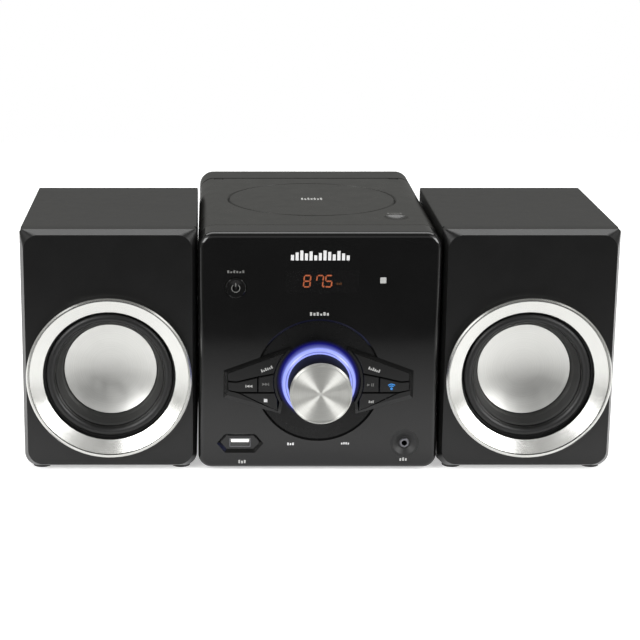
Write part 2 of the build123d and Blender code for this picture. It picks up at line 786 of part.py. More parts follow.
with BuildPart() as usb_tongue:
    with BuildSketch(facing(usb_front_depth + USB_LENGTH)):
        with Locations((USB_X, SOCKET_HEIGHT)):
            Rectangle(USB_WIDTH - 2 * USB_WALL, USB_TALL - 2 * USB_WALL)
    extrude(amount=USB_BLOCK_LENGTH)
    with BuildSketch(facing(usb_front_depth + USB_LENGTH - USB_BLOCK_LENGTH)):
        with Locations((USB_X, SOCKET_HEIGHT + USB_TONGUE_RISE)):
            Rectangle(USB_TONGUE_WIDTH, USB_TONGUE_THICKNESS)
    extrude(amount=USB_LENGTH - USB_BLOCK_LENGTH - USB_TONGUE_SETBACK)
save(usb_tongue, "usb_tongue")

with BuildPart() as aux_bushing:
    add(
        turned(
            AUX_X,
            SOCKET_HEIGHT,
            [
                (AUX_BODY_DEPTH, AUX_BORE_RADIUS),
                (AUX_BODY_DEPTH, AUX_NOSE_RADIUS),
                (AUX_NOSE_DEPTH + AUX_NOSE_EDGE, AUX_NOSE_RADIUS),
                (AUX_NOSE_DEPTH, AUX_NOSE_RADIUS - AUX_NOSE_EDGE),
                (AUX_NOSE_DEPTH, AUX_BORE_RADIUS),
            ],
        )
    )
save(aux_bushing, "aux_bushing")

with BuildPart() as aux_jack:
    with BuildSketch(facing(AUX_BODY_END)):
        with Locations((AUX_X, SOCKET_HEIGHT)):
            Rectangle(AUX_BODY_WIDTH, AUX_BODY_TALL)
    extrude(amount=AUX_BODY_END - AUX_BODY_DEPTH)
    add(
        plug(AUX_X, SOCKET_HEIGHT, AUX_BODY_DEPTH - OVERCUT, AUX_BORE_END, AUX_BORE_RADIUS),
        mode=Mode.SUBTRACT,
    )
save(aux_jack, "aux_jack")

# ---------------------------------------------------------------- cabinet shell
lug_centres = [-(LUG_START + LUG_WIDTH / 2), LUG_START + LUG_WIDTH / 2]
with BuildPart() as cabinet_shell:
    extrude(main_outline(BEZEL_DEPTH), amount=BEZEL_DEPTH - MAIN_DEPTH)
    fillet(cabinet_shell.faces().sort_by(Axis.Y)[-1].edges(), SHELL_REAR_ROUNDING)
    extrude(main_outline(BEZEL_DEPTH, SHELL_WALL), amount=BEZEL_DEPTH - MAIN_DEPTH, mode=Mode.SUBTRACT)
    for spot_x, spot_depth in STANDOFF_SPOTS:
        add(block(spot_x, spot_depth, OVERLAP, STANDOFF_WIDTH, STANDOFF_WIDTH, MAIN_BOARD_BASE - OVERLAP))
    opening_length = STRIP_DEPTH - BEZEL_DEPTH
    add(
        block(
            0,
            BEZEL_DEPTH + opening_length / 2,
            LID_SPLIT,
            MAIN_WIDTH + 2 * OVERCUT,
            opening_length,
            MAIN_HEIGHT,
        ),
        mode=Mode.SUBTRACT,
    )
    # Two lugs under the rear strip carry the lid's pins.
    for lug_x in lug_centres:
        lug_length = STRIP_DEPTH + SHELL_WALL - HINGE_DEPTH
        lug_middle = HINGE_DEPTH + lug_length / 2
        add(block(lug_x, lug_middle, HINGE_HEIGHT - LUG_RADIUS, LUG_WIDTH, lug_length, 2 * LUG_RADIUS))
        with BuildSketch(upright(lug_x - LUG_WIDTH / 2)):
            with Locations((HINGE_DEPTH, HINGE_HEIGHT)):
                Circle(LUG_RADIUS)
        extrude(amount=LUG_WIDTH)
        with BuildSketch(upright(lug_x - LUG_WIDTH / 2)):
            with Locations((HINGE_DEPTH, HINGE_HEIGHT)):
                Circle(HINGE_PIN_RADIUS)
        extrude(amount=LUG_WIDTH, mode=Mode.SUBTRACT)
save(cabinet_shell, "cabinet_shell")

# -------------------------------------------------------------------------- lid
with BuildPart() as lid:
    extrude(main_outline(LID_REAR_DEPTH), amount=LID_REAR_DEPTH - LID_FRONT_DEPTH)
    fillet(lid.faces().sort_by(Axis.Y)[-1].edges(), LID_ROUNDING)
    chamfer(lid.faces().sort_by(Axis.Y)[0].edges(), LID_FRONT_EDGE)
    lid_middle = (LID_FRONT_DEPTH + LID_REAR_DEPTH) / 2
    lid_cut_width = MAIN_WIDTH + 2 * OVERCUT
    add(block(0, lid_middle, -OVERCUT, lid_cut_width, MAIN_DEPTH, LID_BASE + OVERCUT), mode=Mode.SUBTRACT)
    hollow_rear = LID_REAR_DEPTH - LID_REAR_BEAM
    extrude(
        main_outline(hollow_rear, SHELL_WALL),
        amount=hollow_rear - LID_FRONT_DEPTH - SHELL_WALL,
        mode=Mode.SUBTRACT,
    )
    # Thicker skin under the fingertip dish.
    pad_base = MAIN_HEIGHT - DISH_SINK - DISH_PAD_MARGIN
    pad_radius = DISH_RADIUS + DISH_PAD_MARGIN
    with BuildSketch(level(pad_base)):
        with Locations((DISH_X, DISH_DEPTH)):
            Circle(pad_radius)
    extrude(amount=MAIN_HEIGHT - OVERLAP - pad_base)
    # Ring groove round the disc's place, and the dish.
    add(
        turned_upright(
            0,
            DISC_DEPTH,
            [
                (MAIN_HEIGHT + GROOVE_OVERCUT, GROOVE_RADIUS - GROOVE_HALF_WIDTH),
                (MAIN_HEIGHT - GROOVE_DEPTH, GROOVE_RADIUS),
                (MAIN_HEIGHT + GROOVE_OVERCUT, GROOVE_RADIUS + GROOVE_HALF_WIDTH),
            ],
        ),
        mode=Mode.SUBTRACT,
    )
    dish_sphere = (DISH_RADIUS**2 + DISH_SINK**2) / (2 * DISH_SINK)
    dish_height = FOOT_HEIGHT + MAIN_HEIGHT - DISH_SINK + dish_sphere
    with Locations((DISH_X, FRONT_Y + DISH_DEPTH, dish_height)):
        Sphere(dish_sphere, mode=Mode.SUBTRACT)
    # Catch that drops into the push latch.
    hook_length = MAIN_HEIGHT - DISH_SINK - DISH_SKIN - HOOK_TIP
    add(block(DISH_X, DISH_DEPTH, HOOK_TIP, HOOK_WIDTH, HOOK_THICKNESS, hook_length))
    for lug_x in lug_centres:
        add(
            block(
                lug_x,
                HINGE_DEPTH - LUG_NOTCH + MAIN_DEPTH / 2,
                HINGE_HEIGHT - LUG_NOTCH,
                LUG_WIDTH + 2 * LUG_GAP,
                MAIN_DEPTH,
                MAIN_HEIGHT,
            ),
            mode=Mode.SUBTRACT,
        )
    for pin_side in (-1, 1):
        pin_start = HINGE_PIN_START if pin_side > 0 else -HINGE_PIN_START - HINGE_PIN_LENGTH
        with BuildSketch(upright(pin_start)):
            with Locations((HINGE_DEPTH, HINGE_HEIGHT)):
                Circle(HINGE_PIN_RADIUS + HINGE_PIN_CLEARANCE)
        extrude(amount=HINGE_PIN_LENGTH, mode=Mode.SUBTRACT)
save(lid, "lid")

with BuildPart() as lid_hinge_pins:
    for pin_side in (-1, 1):
        pin_start = HINGE_PIN_START if pin_side > 0 else -HINGE_PIN_START - HINGE_PIN_LENGTH
        with BuildSketch(upright(pin_start + HINGE_PIN_END_GAP)):
            with Locations((HINGE_DEPTH, HINGE_HEIGHT)):
                Circle(HINGE_PIN_RADIUS)
        extrude(amount=HINGE_PIN_LENGTH - 2 * HINGE_PIN_END_GAP)
save(lid_hinge_pins, "lid_hinge_pins")

with BuildPart() as push_latch:
    add(block(DISH_X, DISH_DEPTH, LATCH_BASE, LATCH_WIDTH, LATCH_LENGTH, LATCH_TOP - LATCH_BASE))
    add(
        block(DISH_X, DISH_DEPTH, LATCH_BASE + LATCH_FLOOR, LATCH_POCKET, LATCH_POCKET, LATCH_TOP),
        mode=Mode.SUBTRACT,
    )
save(push_latch, "push_latch")

# ------------------------------------------------------------- disc well tray
with BuildPart() as disc_tray:
    tray_length = TRAY_REAR_DEPTH - TRAY_FRONT_DEPTH
    tray_middle = (TRAY_REAR_DEPTH + TRAY_FRONT_DEPTH) / 2
    add(block(0, tray_middle, TRAY_TOP - TRAY_SHEET, 2 * TRAY_HALF_WIDTH, tray_length, TRAY_SHEET))
    add(
        turned_upright(
            0,
            DISC_DEPTH,
            [
                (WELL_FLOOR - WELL_WALL, 0),
                (WELL_FLOOR - WELL_WALL, WELL_RADIUS + WELL_WALL),
                (TRAY_TOP, WELL_RADIUS + WELL_WALL),
                (TRAY_TOP, 0),
            ],
        )
    )
    add(
        turned_upright(
            0,
            DISC_DEPTH,
            [
                (WELL_FLOOR, 0),
                (WELL_FLOOR, WELL_RADIUS),
                (TRAY_TOP - WELL_RIM, WELL_RADIUS),
                (TRAY_TOP + WELL_RIM, WELL_RADIUS + 2 * WELL_RIM),
                (TRAY_TOP + WELL_RIM, 0),
            ],
        ),
        mode=Mode.SUBTRACT,
    )
    with BuildSketch(level(WELL_FLOOR - WELL_WALL - OVERCUT)):
        with Locations((0, DISC_DEPTH)):
            Circle(SPINDLE_HOLE_RADIUS)
        with Locations((LASER_SLOT_LENGTH / 2, DISC_DEPTH)):
            Rectangle(LASER_SLOT_LENGTH, LASER_SLOT_WIDTH)
        with Locations((DISH_X, DISH_DEPTH)):
            Rectangle(LATCH_POCKET, LATCH_POCKET)
    extrude(amount=WELL_WALL + 2 * OVERCUT, mode=Mode.SUBTRACT)
    add(
        block(DISH_X, DISH_DEPTH, LATCH_TOP - OVERCUT, LATCH_POCKET, LATCH_POCKET, TRAY_TOP),
        mode=Mode.SUBTRACT,
    )
save(disc_tray, "disc_tray")

# ------------------------------------------------------------- disc mechanism
rod_depths = [DISC_DEPTH - ROD_OFFSET, DISC_DEPTH + ROD_OFFSET]
with BuildPart() as cd_chassis:
    with BuildSketch(level(CHASSIS_BASE)):
        with Locations(((CHASSIS_LEFT + CHASSIS_RIGHT) / 2, DISC_DEPTH)):
            Rectangle(CHASSIS_RIGHT - CHASSIS_LEFT, 2 * CHASSIS_HALF_DEPTH)
        with Locations(((SLED_OPENING_START + SLED_OPENING_END) / 2, DISC_DEPTH)):
            Rectangle(SLED_OPENING_END - SLED_OPENING_START, 2 * SLED_OPENING_HALF, mode=Mode.SUBTRACT)
        with Locations((0, DISC_DEPTH)):
            Circle(MOTOR_HOLE_RADIUS, mode=Mode.SUBTRACT)
    extrude(amount=CHASSIS_TOP - CHASSIS_BASE)
    with BuildSketch(upright(SLED_OPENING_START - ROD_SEAT)):
        with Locations(*[(depth, ROD_HEIGHT) for depth in rod_depths]):
            Circle(ROD_RADIUS)
    extrude(amount=SLED_OPENING_END - SLED_OPENING_START + 2 * ROD_SEAT, mode=Mode.SUBTRACT)
    # Soft mounts hang the mechanism from the tray.
    with BuildSketch(level(CHASSIS_TOP)):
        with Locations((0, DISC_DEPTH)):
            with GridLocations(2 * DAMPER_X, 2 * DAMPER_OFFSET, 2, 2):
                Circle(DAMPER_RADIUS)
    extrude(amount=WELL_FLOOR - WELL_WALL - CHASSIS_TOP)
save(cd_chassis, "cd_chassis")

with BuildPart() as sled_rods:
    with BuildSketch(upright(SLED_OPENING_START - ROD_SEAT)):
        with Locations(*[(depth, ROD_HEIGHT) for depth in rod_depths]):
            Circle(ROD_RADIUS)
    extrude(amount=SLED_OPENING_END - SLED_OPENING_START + 2 * ROD_SEAT)
save(sled_rods, "sled_rods")

with BuildPart() as laser_sled:
    sled_x = SLED_START + SLED_LENGTH / 2
    add(block(sled_x, DISC_DEPTH, SLED_BASE, SLED_LENGTH, 2 * SLED_HALF_WIDTH, SLED_TOP - SLED_BASE))
    with BuildSketch(upright(SLED_START - OVERCUT)):
        with Locations(*[(depth, ROD_HEIGHT) for depth in rod_depths]):
            Circle(ROD_RADIUS + ROD_CLEARANCE)
    extrude(amount=SLED_LENGTH + 2 * OVERCUT, mode=Mode.SUBTRACT)
    with BuildSketch(level(SLED_TOP)):
        with Locations((LENS_X, DISC_DEPTH)):
            Circle(LENS_RADIUS)
    extrude(amount=LENS_TOP - SLED_TOP)
    chamfer(laser_sled.faces().sort_by(Axis.Z)[-1].edges(), LENS_EDGE)
save(laser_sled, "laser_sled")

with BuildPart() as spindle_motor:
    add(
        turned_upright(
            0,
            DISC_DEPTH,
            [
                (MOTOR_BASE, 0),
                (MOTOR_BASE, MOTOR_RADIUS),
                (MOTOR_TOP, MOTOR_RADIUS),
                (MOTOR_TOP, MOTOR_BOSS_RADIUS),
                (MOTOR_BOSS_TOP, MOTOR_BOSS_RADIUS),
                (MOTOR_BOSS_TOP, SPINDLE_RADIUS + SHAFT_CLEARANCE),
                (MOTOR_BASE + SPINDLE_FLOOR, SPINDLE_RADIUS + SHAFT_CLEARANCE),
                (MOTOR_BASE + SPINDLE_FLOOR, 0),
            ],
        )
    )
save(spindle_motor, "spindle_motor")

with BuildPart() as turntable:
    spindle_end = MOTOR_BASE + SPINDLE_FLOOR + SPINDLE_END_GAP
    add(
        turned_upright(
            0,
            DISC_DEPTH,
            [
                (spindle_end, 0),
                (spindle_end, SPINDLE_RADIUS),
                (TABLE_BASE, SPINDLE_RADIUS),
                (TABLE_BASE, TABLE_RADIUS),
                (TABLE_TOP, TABLE_RADIUS),
                (TABLE_TOP, HUB_RADIUS),
                (HUB_TOP - HUB_EDGE, HUB_RADIUS),
                (HUB_TOP, HUB_RADIUS - HUB_EDGE),
                (HUB_TOP, 0),
            ],
        )
    )
save(turntable, "turntable")

# ------------------------------------------------------------ inside the base
with BuildPart() as main_board:
    board_width = MAIN_BOARD_RIGHT - MAIN_BOARD_LEFT
    board_length = MAIN_BOARD_REAR - MAIN_BOARD_FRONT
    board_x = (MAIN_BOARD_RIGHT + MAIN_BOARD_LEFT) / 2
    board_depth = (MAIN_BOARD_REAR + MAIN_BOARD_FRONT) / 2
    add(block(board_x, board_depth, MAIN_BOARD_BASE, board_width, board_length, BOARD_THICKNESS))
    for chip_x, chip_depth, chip_width, chip_tall in CHIP_SPOTS:
        add(block(chip_x, chip_depth, MAIN_BOARD_BASE + OVERLAP, chip_width, CHIP_LENGTH, chip_tall))
save(main_board, "main_board")

with BuildPart() as transformer:
    add(block(TRANSFORMER_X, TRANSFORMER_DEPTH, SHELL_WALL, CORE_WIDTH, CORE_LENGTH, CORE_TALL))
    coil_base = SHELL_WALL + (CORE_TALL - COIL_TALL) / 2
    add(block(TRANSFORMER_X, TRANSFORMER_DEPTH, coil_base, COIL_WIDTH, COIL_LENGTH, COIL_TALL))
save(transformer, "transformer")

# ------------------------------------------------------------------ rear panel
panel_front_depth = MAIN_DEPTH - SHELL_WALL
with BuildPart() as rear_panel:
    extrude(main_outline(MAIN_DEPTH, SHELL_WALL), amount=SHELL_WALL)
    with BuildSketch(facing(MAIN_DEPTH)):
        for vent in range(VENT_COUNT):
            with Locations((0, VENT_BASE + vent * VENT_PITCH)):
                SlotOverall(VENT_LENGTH, VENT_WIDTH)
        with Locations(*[(x, RCA_HEIGHT) for x in RCA_X]):
            Circle(RCA_BODY_RADIUS)
        for gland_x, gland_height, gland_radius, _ in GLAND_SPOTS:
            with Locations((gland_x, gland_height)):
                Circle(gland_radius)
    extrude(amount=SHELL_WALL, mode=Mode.SUBTRACT)
save(rear_panel, "rear_panel")

with BuildPart() as speaker_sockets:
    for socket_x in RCA_X:
        add(
            turned(
                socket_x,
                RCA_HEIGHT,
                [
                    (panel_front_depth - RCA_BODY_LENGTH, 0),
                    (panel_front_depth - RCA_BODY_LENGTH, RCA_BODY_RADIUS),
                    (MAIN_DEPTH, RCA_BODY_RADIUS),
                    (MAIN_DEPTH, RCA_FLANGE_RADIUS),
                    (MAIN_DEPTH + RCA_FLANGE_THICKNESS, RCA_FLANGE_RADIUS),
                    (MAIN_DEPTH + RCA_FLANGE_THICKNESS, RCA_RADIUS),
                    (MAIN_DEPTH + SOCKET_REACH, RCA_RADIUS),
                    (MAIN_DEPTH + SOCKET_REACH, RCA_HOLE_RADIUS),
                    (MAIN_DEPTH + SOCKET_REACH - RCA_HOLE_LENGTH, RCA_HOLE_RADIUS),
                    (MAIN_DEPTH + SOCKET_REACH - RCA_HOLE_LENGTH, 0),
                ],
            )
        )
save(speaker_sockets, "speaker_sockets")

with BuildPart() as cord_glands:
    for gland_x, gland_height, gland_radius, gland_hole in GLAND_SPOTS:
        add(
            turned(
                gland_x,
                gland_height,
                [
                    (panel_front_depth - GLAND_EDGE, gland_hole),
                    (panel_front_depth - GLAND_EDGE, gland_radius),
                    (MAIN_DEPTH, gland_radius),
                    (MAIN_DEPTH, gland_radius + GLAND_FLANGE),
                    (MAIN_DEPTH + GLAND_PROUD - GLAND_EDGE, gland_radius + GLAND_FLANGE),
                    (MAIN_DEPTH + GLAND_PROUD, gland_radius),
                    (MAIN_DEPTH + GLAND_PROUD, gland_hole),
                ],
            )
        )
save(cord_glands, "cord_glands")


def feet(spots, x=0.0):
    """Rubber feet under one cabinet."""
    with BuildPart() as pads:
        with BuildSketch(level(-FOOT_HEIGHT)):
            with Locations(*[(x + spot_x, depth) for spot_x, depth in spots]):
                Circle(FOOT_RADIUS)
        extrude(amount=FOOT_HEIGHT)
    return pads


def cap_point(radius, behind):
    """Point on the dished dust cap's profile, behind its front surface."""
    sphere = (CAP_RADIUS**2 + CAP_DISH**2) / (2 * CAP_DISH)
    sag = sphere - math.sqrt(sphere**2 - radius**2)
    return (CAP_RIM_DEPTH + CAP_DISH - sag + behind, DRIVER_HEIGHT + radius)


main_feet = feet(MAIN_FOOT_SPOTS)
save(main_feet, "main_feet")

# --------------------------------------------------------------------- speakers
for side_name, side in (("left", -1), ("right", 1)):
    speaker_x = side * SPEAKER_X

    with BuildPart() as speaker_cabinet:
        box_length = SPEAKER_DEPTH - BAFFLE_DEPTH
        box_shape = (SPEAKER_WIDTH, SPEAKER_HEIGHT, BOX_TOP_RADIUS, BOX_BASE_RADIUS)
        extrude(standing_outline(facing(BAFFLE_DEPTH), *box_shape, x=speaker_x), amount=-box_length)
        extrude(
            standing_outline(facing(BAFFLE_DEPTH), *box_shape, BOX_WALL, speaker_x),
            amount=BOX_WALL - box_length,
            mode=Mode.SUBTRACT,
        )
        gland_start = SPEAKER_DEPTH - BOX_WALL - OVERCUT
        gland_end = SPEAKER_DEPTH + OVERCUT
        add(
            plug(speaker_x, SPEAKER_GLAND_HEIGHT, gland_start, gland_end, SPEAKER_GLAND_RADIUS),
            mode=Mode.SUBTRACT,
        )
    save(speaker_cabinet, "speaker_cabinet_" + side_name)

    with BuildPart() as speaker_baffle:
        slab_shape = (SPEAKER_WIDTH, SPEAKER_HEIGHT, BAFFLE_TOP_RADIUS, BAFFLE_BASE_RADIUS)
        slab_depth = BAFFLE_DEPTH - BAFFLE_EDGE
        extrude(standing_outline(facing(BAFFLE_DEPTH), *slab_shape, x=speaker_x), amount=slab_depth)
        with BuildSketch(facing(0)) as face_outline:
            with Locations((speaker_x, SPEAKER_HEIGHT / 2)):
                face_width = SPEAKER_WIDTH - 2 * FACE_INSET
                face_height = SPEAKER_HEIGHT - 2 * FACE_INSET
                RectangleRounded(face_width, face_height, FACE_RADIUS)
        edge_section = standing_outline(facing(BAFFLE_EDGE), *slab_shape, x=speaker_x)
        loft([edge_section, face_outline.sketch])
        extrude(
            standing_outline(facing(BAFFLE_DEPTH), *slab_shape, BAFFLE_LIP, speaker_x),
            amount=BAFFLE_DEPTH - BAFFLE_SKIN,
            mode=Mode.SUBTRACT,
        )
        add(plug(speaker_x, DRIVER_HEIGHT, -OVERCUT, BAFFLE_DEPTH, BAFFLE_HOLE_RADIUS), mode=Mode.SUBTRACT)
    save(speaker_baffle, "speaker_baffle_" + side_name)

    with BuildPart() as trim_ring:
        add(
            turned(
                speaker_x,
                DRIVER_HEIGHT,
                [
                    (0, RING_RADIUS),
                    (-RING_REACH + RING_LIP, RING_RADIUS),
                    (-RING_REACH, RING_RADIUS - RING_LIP),
                    (-RING_REACH, RING_BEAD_INNER),
                    (RING_BAND_FRONT, RING_BAND_OUTER),
                    (RING_INNER_DEPTH, RING_INNER_RADIUS),
                    (RING_NOSE_DEPTH, RING_INNER_RADIUS),
                    (RING_NOSE_DEPTH, RING_NOSE_RADIUS),
                    (0, RING_NOSE_RADIUS),
                ],
            )
        )
    save(trim_ring, "trim_ring_" + side_name)

    with BuildPart() as surround:
        roll_radius = (SURROUND_ROLL_OUTER - SURROUND_INNER) / 2
        roll_middle = (SURROUND_ROLL_OUTER + SURROUND_INNER) / 2
        back_depth = SURROUND_FRONT_DEPTH + SURROUND_THICKNESS
        with BuildSketch(upright(speaker_x)):
            with BuildLine():
                Polyline(
                    (SURROUND_FRONT_DEPTH, DRIVER_HEIGHT + SURROUND_ROLL_OUTER),
                    (SURROUND_FRONT_DEPTH, DRIVER_HEIGHT + SURROUND_RADIUS),
                    (back_depth, DRIVER_HEIGHT + SURROUND_RADIUS),
                    (back_depth, DRIVER_HEIGHT + SURROUND_ROLL_OUTER - SURROUND_THICKNESS),
                )
                ThreePointArc(
                    (back_depth, DRIVER_HEIGHT + SURROUND_ROLL_OUTER - SURROUND_THICKNESS),
                    (back_depth - roll_radius + SURROUND_THICKNESS, DRIVER_HEIGHT + roll_middle),
                    (back_depth, DRIVER_HEIGHT + SURROUND_INNER + SURROUND_THICKNESS),
                )
                Polyline(
                    (back_depth, DRIVER_HEIGHT + SURROUND_INNER + SURROUND_THICKNESS),
                    (back_depth, DRIVER_HEIGHT + SURROUND_INNER),
                    (SURROUND_FRONT_DEPTH, DRIVER_HEIGHT + SURROUND_INNER),
                )
                ThreePointArc(
                    (SURROUND_FRONT_DEPTH, DRIVER_HEIGHT + SURROUND_INNER),
                    (SURROUND_FRONT_DEPTH - roll_radius, DRIVER_HEIGHT + roll_middle),
                    (SURROUND_FRONT_DEPTH, DRIVER_HEIGHT + SURROUND_ROLL_OUTER),
                )
            make_face()
        revolve(axis=Axis((speaker_x, FRONT_Y, FOOT_HEIGHT + DRIVER_HEIGHT), (0, 1, 0)))
    save(surround, "surround_" + side_name)

    with BuildPart() as driver_cone:
        add(turned(speaker_x, DRIVER_HEIGHT, CONE_RIM + CONE_FRONT + CONE_BACK))
    save(driver_cone, "driver_cone_" + side_name)

    with BuildPart() as dust_cap:
        with BuildSketch(upright(speaker_x)):
            with BuildLine():
                ThreePointArc(*[cap_point(radius, 0) for radius in (CAP_RADIUS, CAP_RADIUS / 2, 0)])
                Line(cap_point(0, 0), cap_point(0, CAP_THICKNESS))
                back_radii = (0, CAP_RADIUS / 2, CAP_RADIUS)
                ThreePointArc(*[cap_point(radius, CAP_THICKNESS) for radius in back_radii])
                Line(cap_point(CAP_RADIUS, CAP_THICKNESS), cap_point(CAP_RADIUS, 0))
            make_face()
        revolve(axis=Axis((speaker_x, FRONT_Y, FOOT_HEIGHT + DRIVER_HEIGHT), (0, 1, 0)))
    save(dust_cap, "dust_cap_" + side_name)

    with BuildPart() as driver_frame:
        add(
            turned(
                speaker_x,
                DRIVER_HEIGHT,
                [
                    (FRAME_FLANGE_DEPTH, FRAME_FLANGE_RADIUS),
                    (FRAME_FLANGE_DEPTH, FRAME_MOUTH_RADIUS - FRAME_SHEET),
                    (FRAME_BACK_DEPTH, FRAME_BACK_RADIUS),
                    (FRAME_BACK_DEPTH, GAP_RADIUS),
                    (FRAME_BACK_DEPTH + FRAME_SHEET, GAP_RADIUS),
                    (FRAME_BACK_DEPTH + FRAME_SHEET, FRAME_BACK_RADIUS + FRAME_SHEET),
                    (FRAME_FLANGE_DEPTH + FRAME_SHEET, FRAME_MOUTH_RADIUS),
                    (FRAME_FLANGE_DEPTH + FRAME_SHEET, FRAME_FLANGE_RADIUS),
                ],
            )
        )
        window_depth = (FRAME_FLANGE_DEPTH + FRAME_BACK_DEPTH) / 2
        window_plane = Plane(
            origin=(speaker_x, FRONT_Y + window_depth, FOOT_HEIGHT + DRIVER_HEIGHT),
            x_dir=(0, 1, 0),
            z_dir=(0, 0, 1),
        )
        for window in range(FRAME_WINDOW_COUNT):
            turn = (window + 0.5) * 360 / FRAME_WINDOW_COUNT
            with BuildSketch(window_plane.rotated((turn, 0, 0))):
                Circle(FRAME_WINDOW_RADIUS)
            extrude(amount=FRAME_FLANGE_RADIUS, mode=Mode.SUBTRACT)
    save(driver_frame, "driver_frame_" + side_name)

    with BuildPart() as driver_magnet:
        magnet_front = FRAME_BACK_DEPTH + FRAME_SHEET
        add(
            turned(
                speaker_x,
                DRIVER_HEIGHT,
                [
                    (FRAME_BACK_DEPTH - POLE_PROUD, 0),
                    (FRAME_BACK_DEPTH - POLE_PROUD, POLE_RADIUS),
                    (MAGNET_WELL_DEPTH, POLE_RADIUS),
                    (MAGNET_WELL_DEPTH, GAP_RADIUS),
                    (magnet_front, GAP_RADIUS),
                    (magnet_front, MAGNET_RADIUS),
                    (MAGNET_BACK_DEPTH, MAGNET_RADIUS),
                    (MAGNET_BACK_DEPTH, 0),
                ],
            )
        )
    save(driver_magnet, "driver_magnet_" + side_name)

    speaker_feet = feet(SPEAKER_FOOT_SPOTS, speaker_x)
    save(speaker_feet, "speaker_feet_" + side_name)
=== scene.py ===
"""Looks of a mini hifi system: a centre unit with a top disc lid and two box speakers.

Metres, with the front towards -Y.
"""
import math

import bmesh
import bpy
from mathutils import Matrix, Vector


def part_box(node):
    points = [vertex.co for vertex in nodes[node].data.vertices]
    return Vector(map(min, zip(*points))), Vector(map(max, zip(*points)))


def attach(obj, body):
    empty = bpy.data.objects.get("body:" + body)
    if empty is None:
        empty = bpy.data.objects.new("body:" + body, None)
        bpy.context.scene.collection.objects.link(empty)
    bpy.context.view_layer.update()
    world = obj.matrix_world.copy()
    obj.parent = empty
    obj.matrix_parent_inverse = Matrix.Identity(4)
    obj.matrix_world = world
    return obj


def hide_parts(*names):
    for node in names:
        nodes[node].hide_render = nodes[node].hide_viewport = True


MM = 0.001

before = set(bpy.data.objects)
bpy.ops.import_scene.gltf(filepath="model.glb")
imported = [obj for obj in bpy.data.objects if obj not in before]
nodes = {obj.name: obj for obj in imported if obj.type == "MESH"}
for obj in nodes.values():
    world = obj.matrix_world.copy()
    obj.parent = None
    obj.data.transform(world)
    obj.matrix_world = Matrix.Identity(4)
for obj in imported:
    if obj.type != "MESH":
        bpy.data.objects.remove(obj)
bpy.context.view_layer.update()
scene = bpy.context.scene

# The front face, the underside of the cabinets and the top of the lid.
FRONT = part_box("front_bezel")[0].y
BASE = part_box("main_feet")[1].z
LID_HEIGHT = (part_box("lid")[1].z - BASE) / MM
DISC_DEPTH = (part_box("turntable")[0].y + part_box("turntable")[1].y) / 2 - FRONT


def middle_of(node):
    """Middle of a node's box, across and up."""
    low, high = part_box(node)
    return ((low.x + high.x) / 2, (low.z + high.z) / 2)


KNOB = middle_of("volume_knob")
RINGS = {side: middle_of("trim_ring_" + side) for side in ("left", "right")}


# ---------------------------------------------------------------- materials

def linear(red, green, blue):
    """An sRGB colour of 0 to 255 as the linear colour that shaders take."""
    def channel(value):
        value = value / 255
        return value / 12.92 if value <= 0.04045 else ((value + 0.055) / 1.055) ** 2.4
    return (channel(red), channel(green), channel(blue), 1.0)


def scaled(colour, factor):
    return tuple(min(1.0, channel * factor) for channel in colour[:3]) + (1.0,)


# Noise: its roughness, and the size of its blobs for mottling, smudges and scuffs.
NOISE_ROUGHNESS = 0.55
MOTTLE_SIZE = 30 * MM
SMUDGE_SIZE = 12 * MM
SCUFF_SIZE = 4 * MM

# Worn edges: dot product of the true and the bevelled normal at an edge and on a flat face, then how much
# lighter and how wide the wear is.
EDGE_DOT = 0.80
FLAT_DOT = 0.995
WORN_LIFT = 2.5
WORN_WIDTH = 0.4 * MM


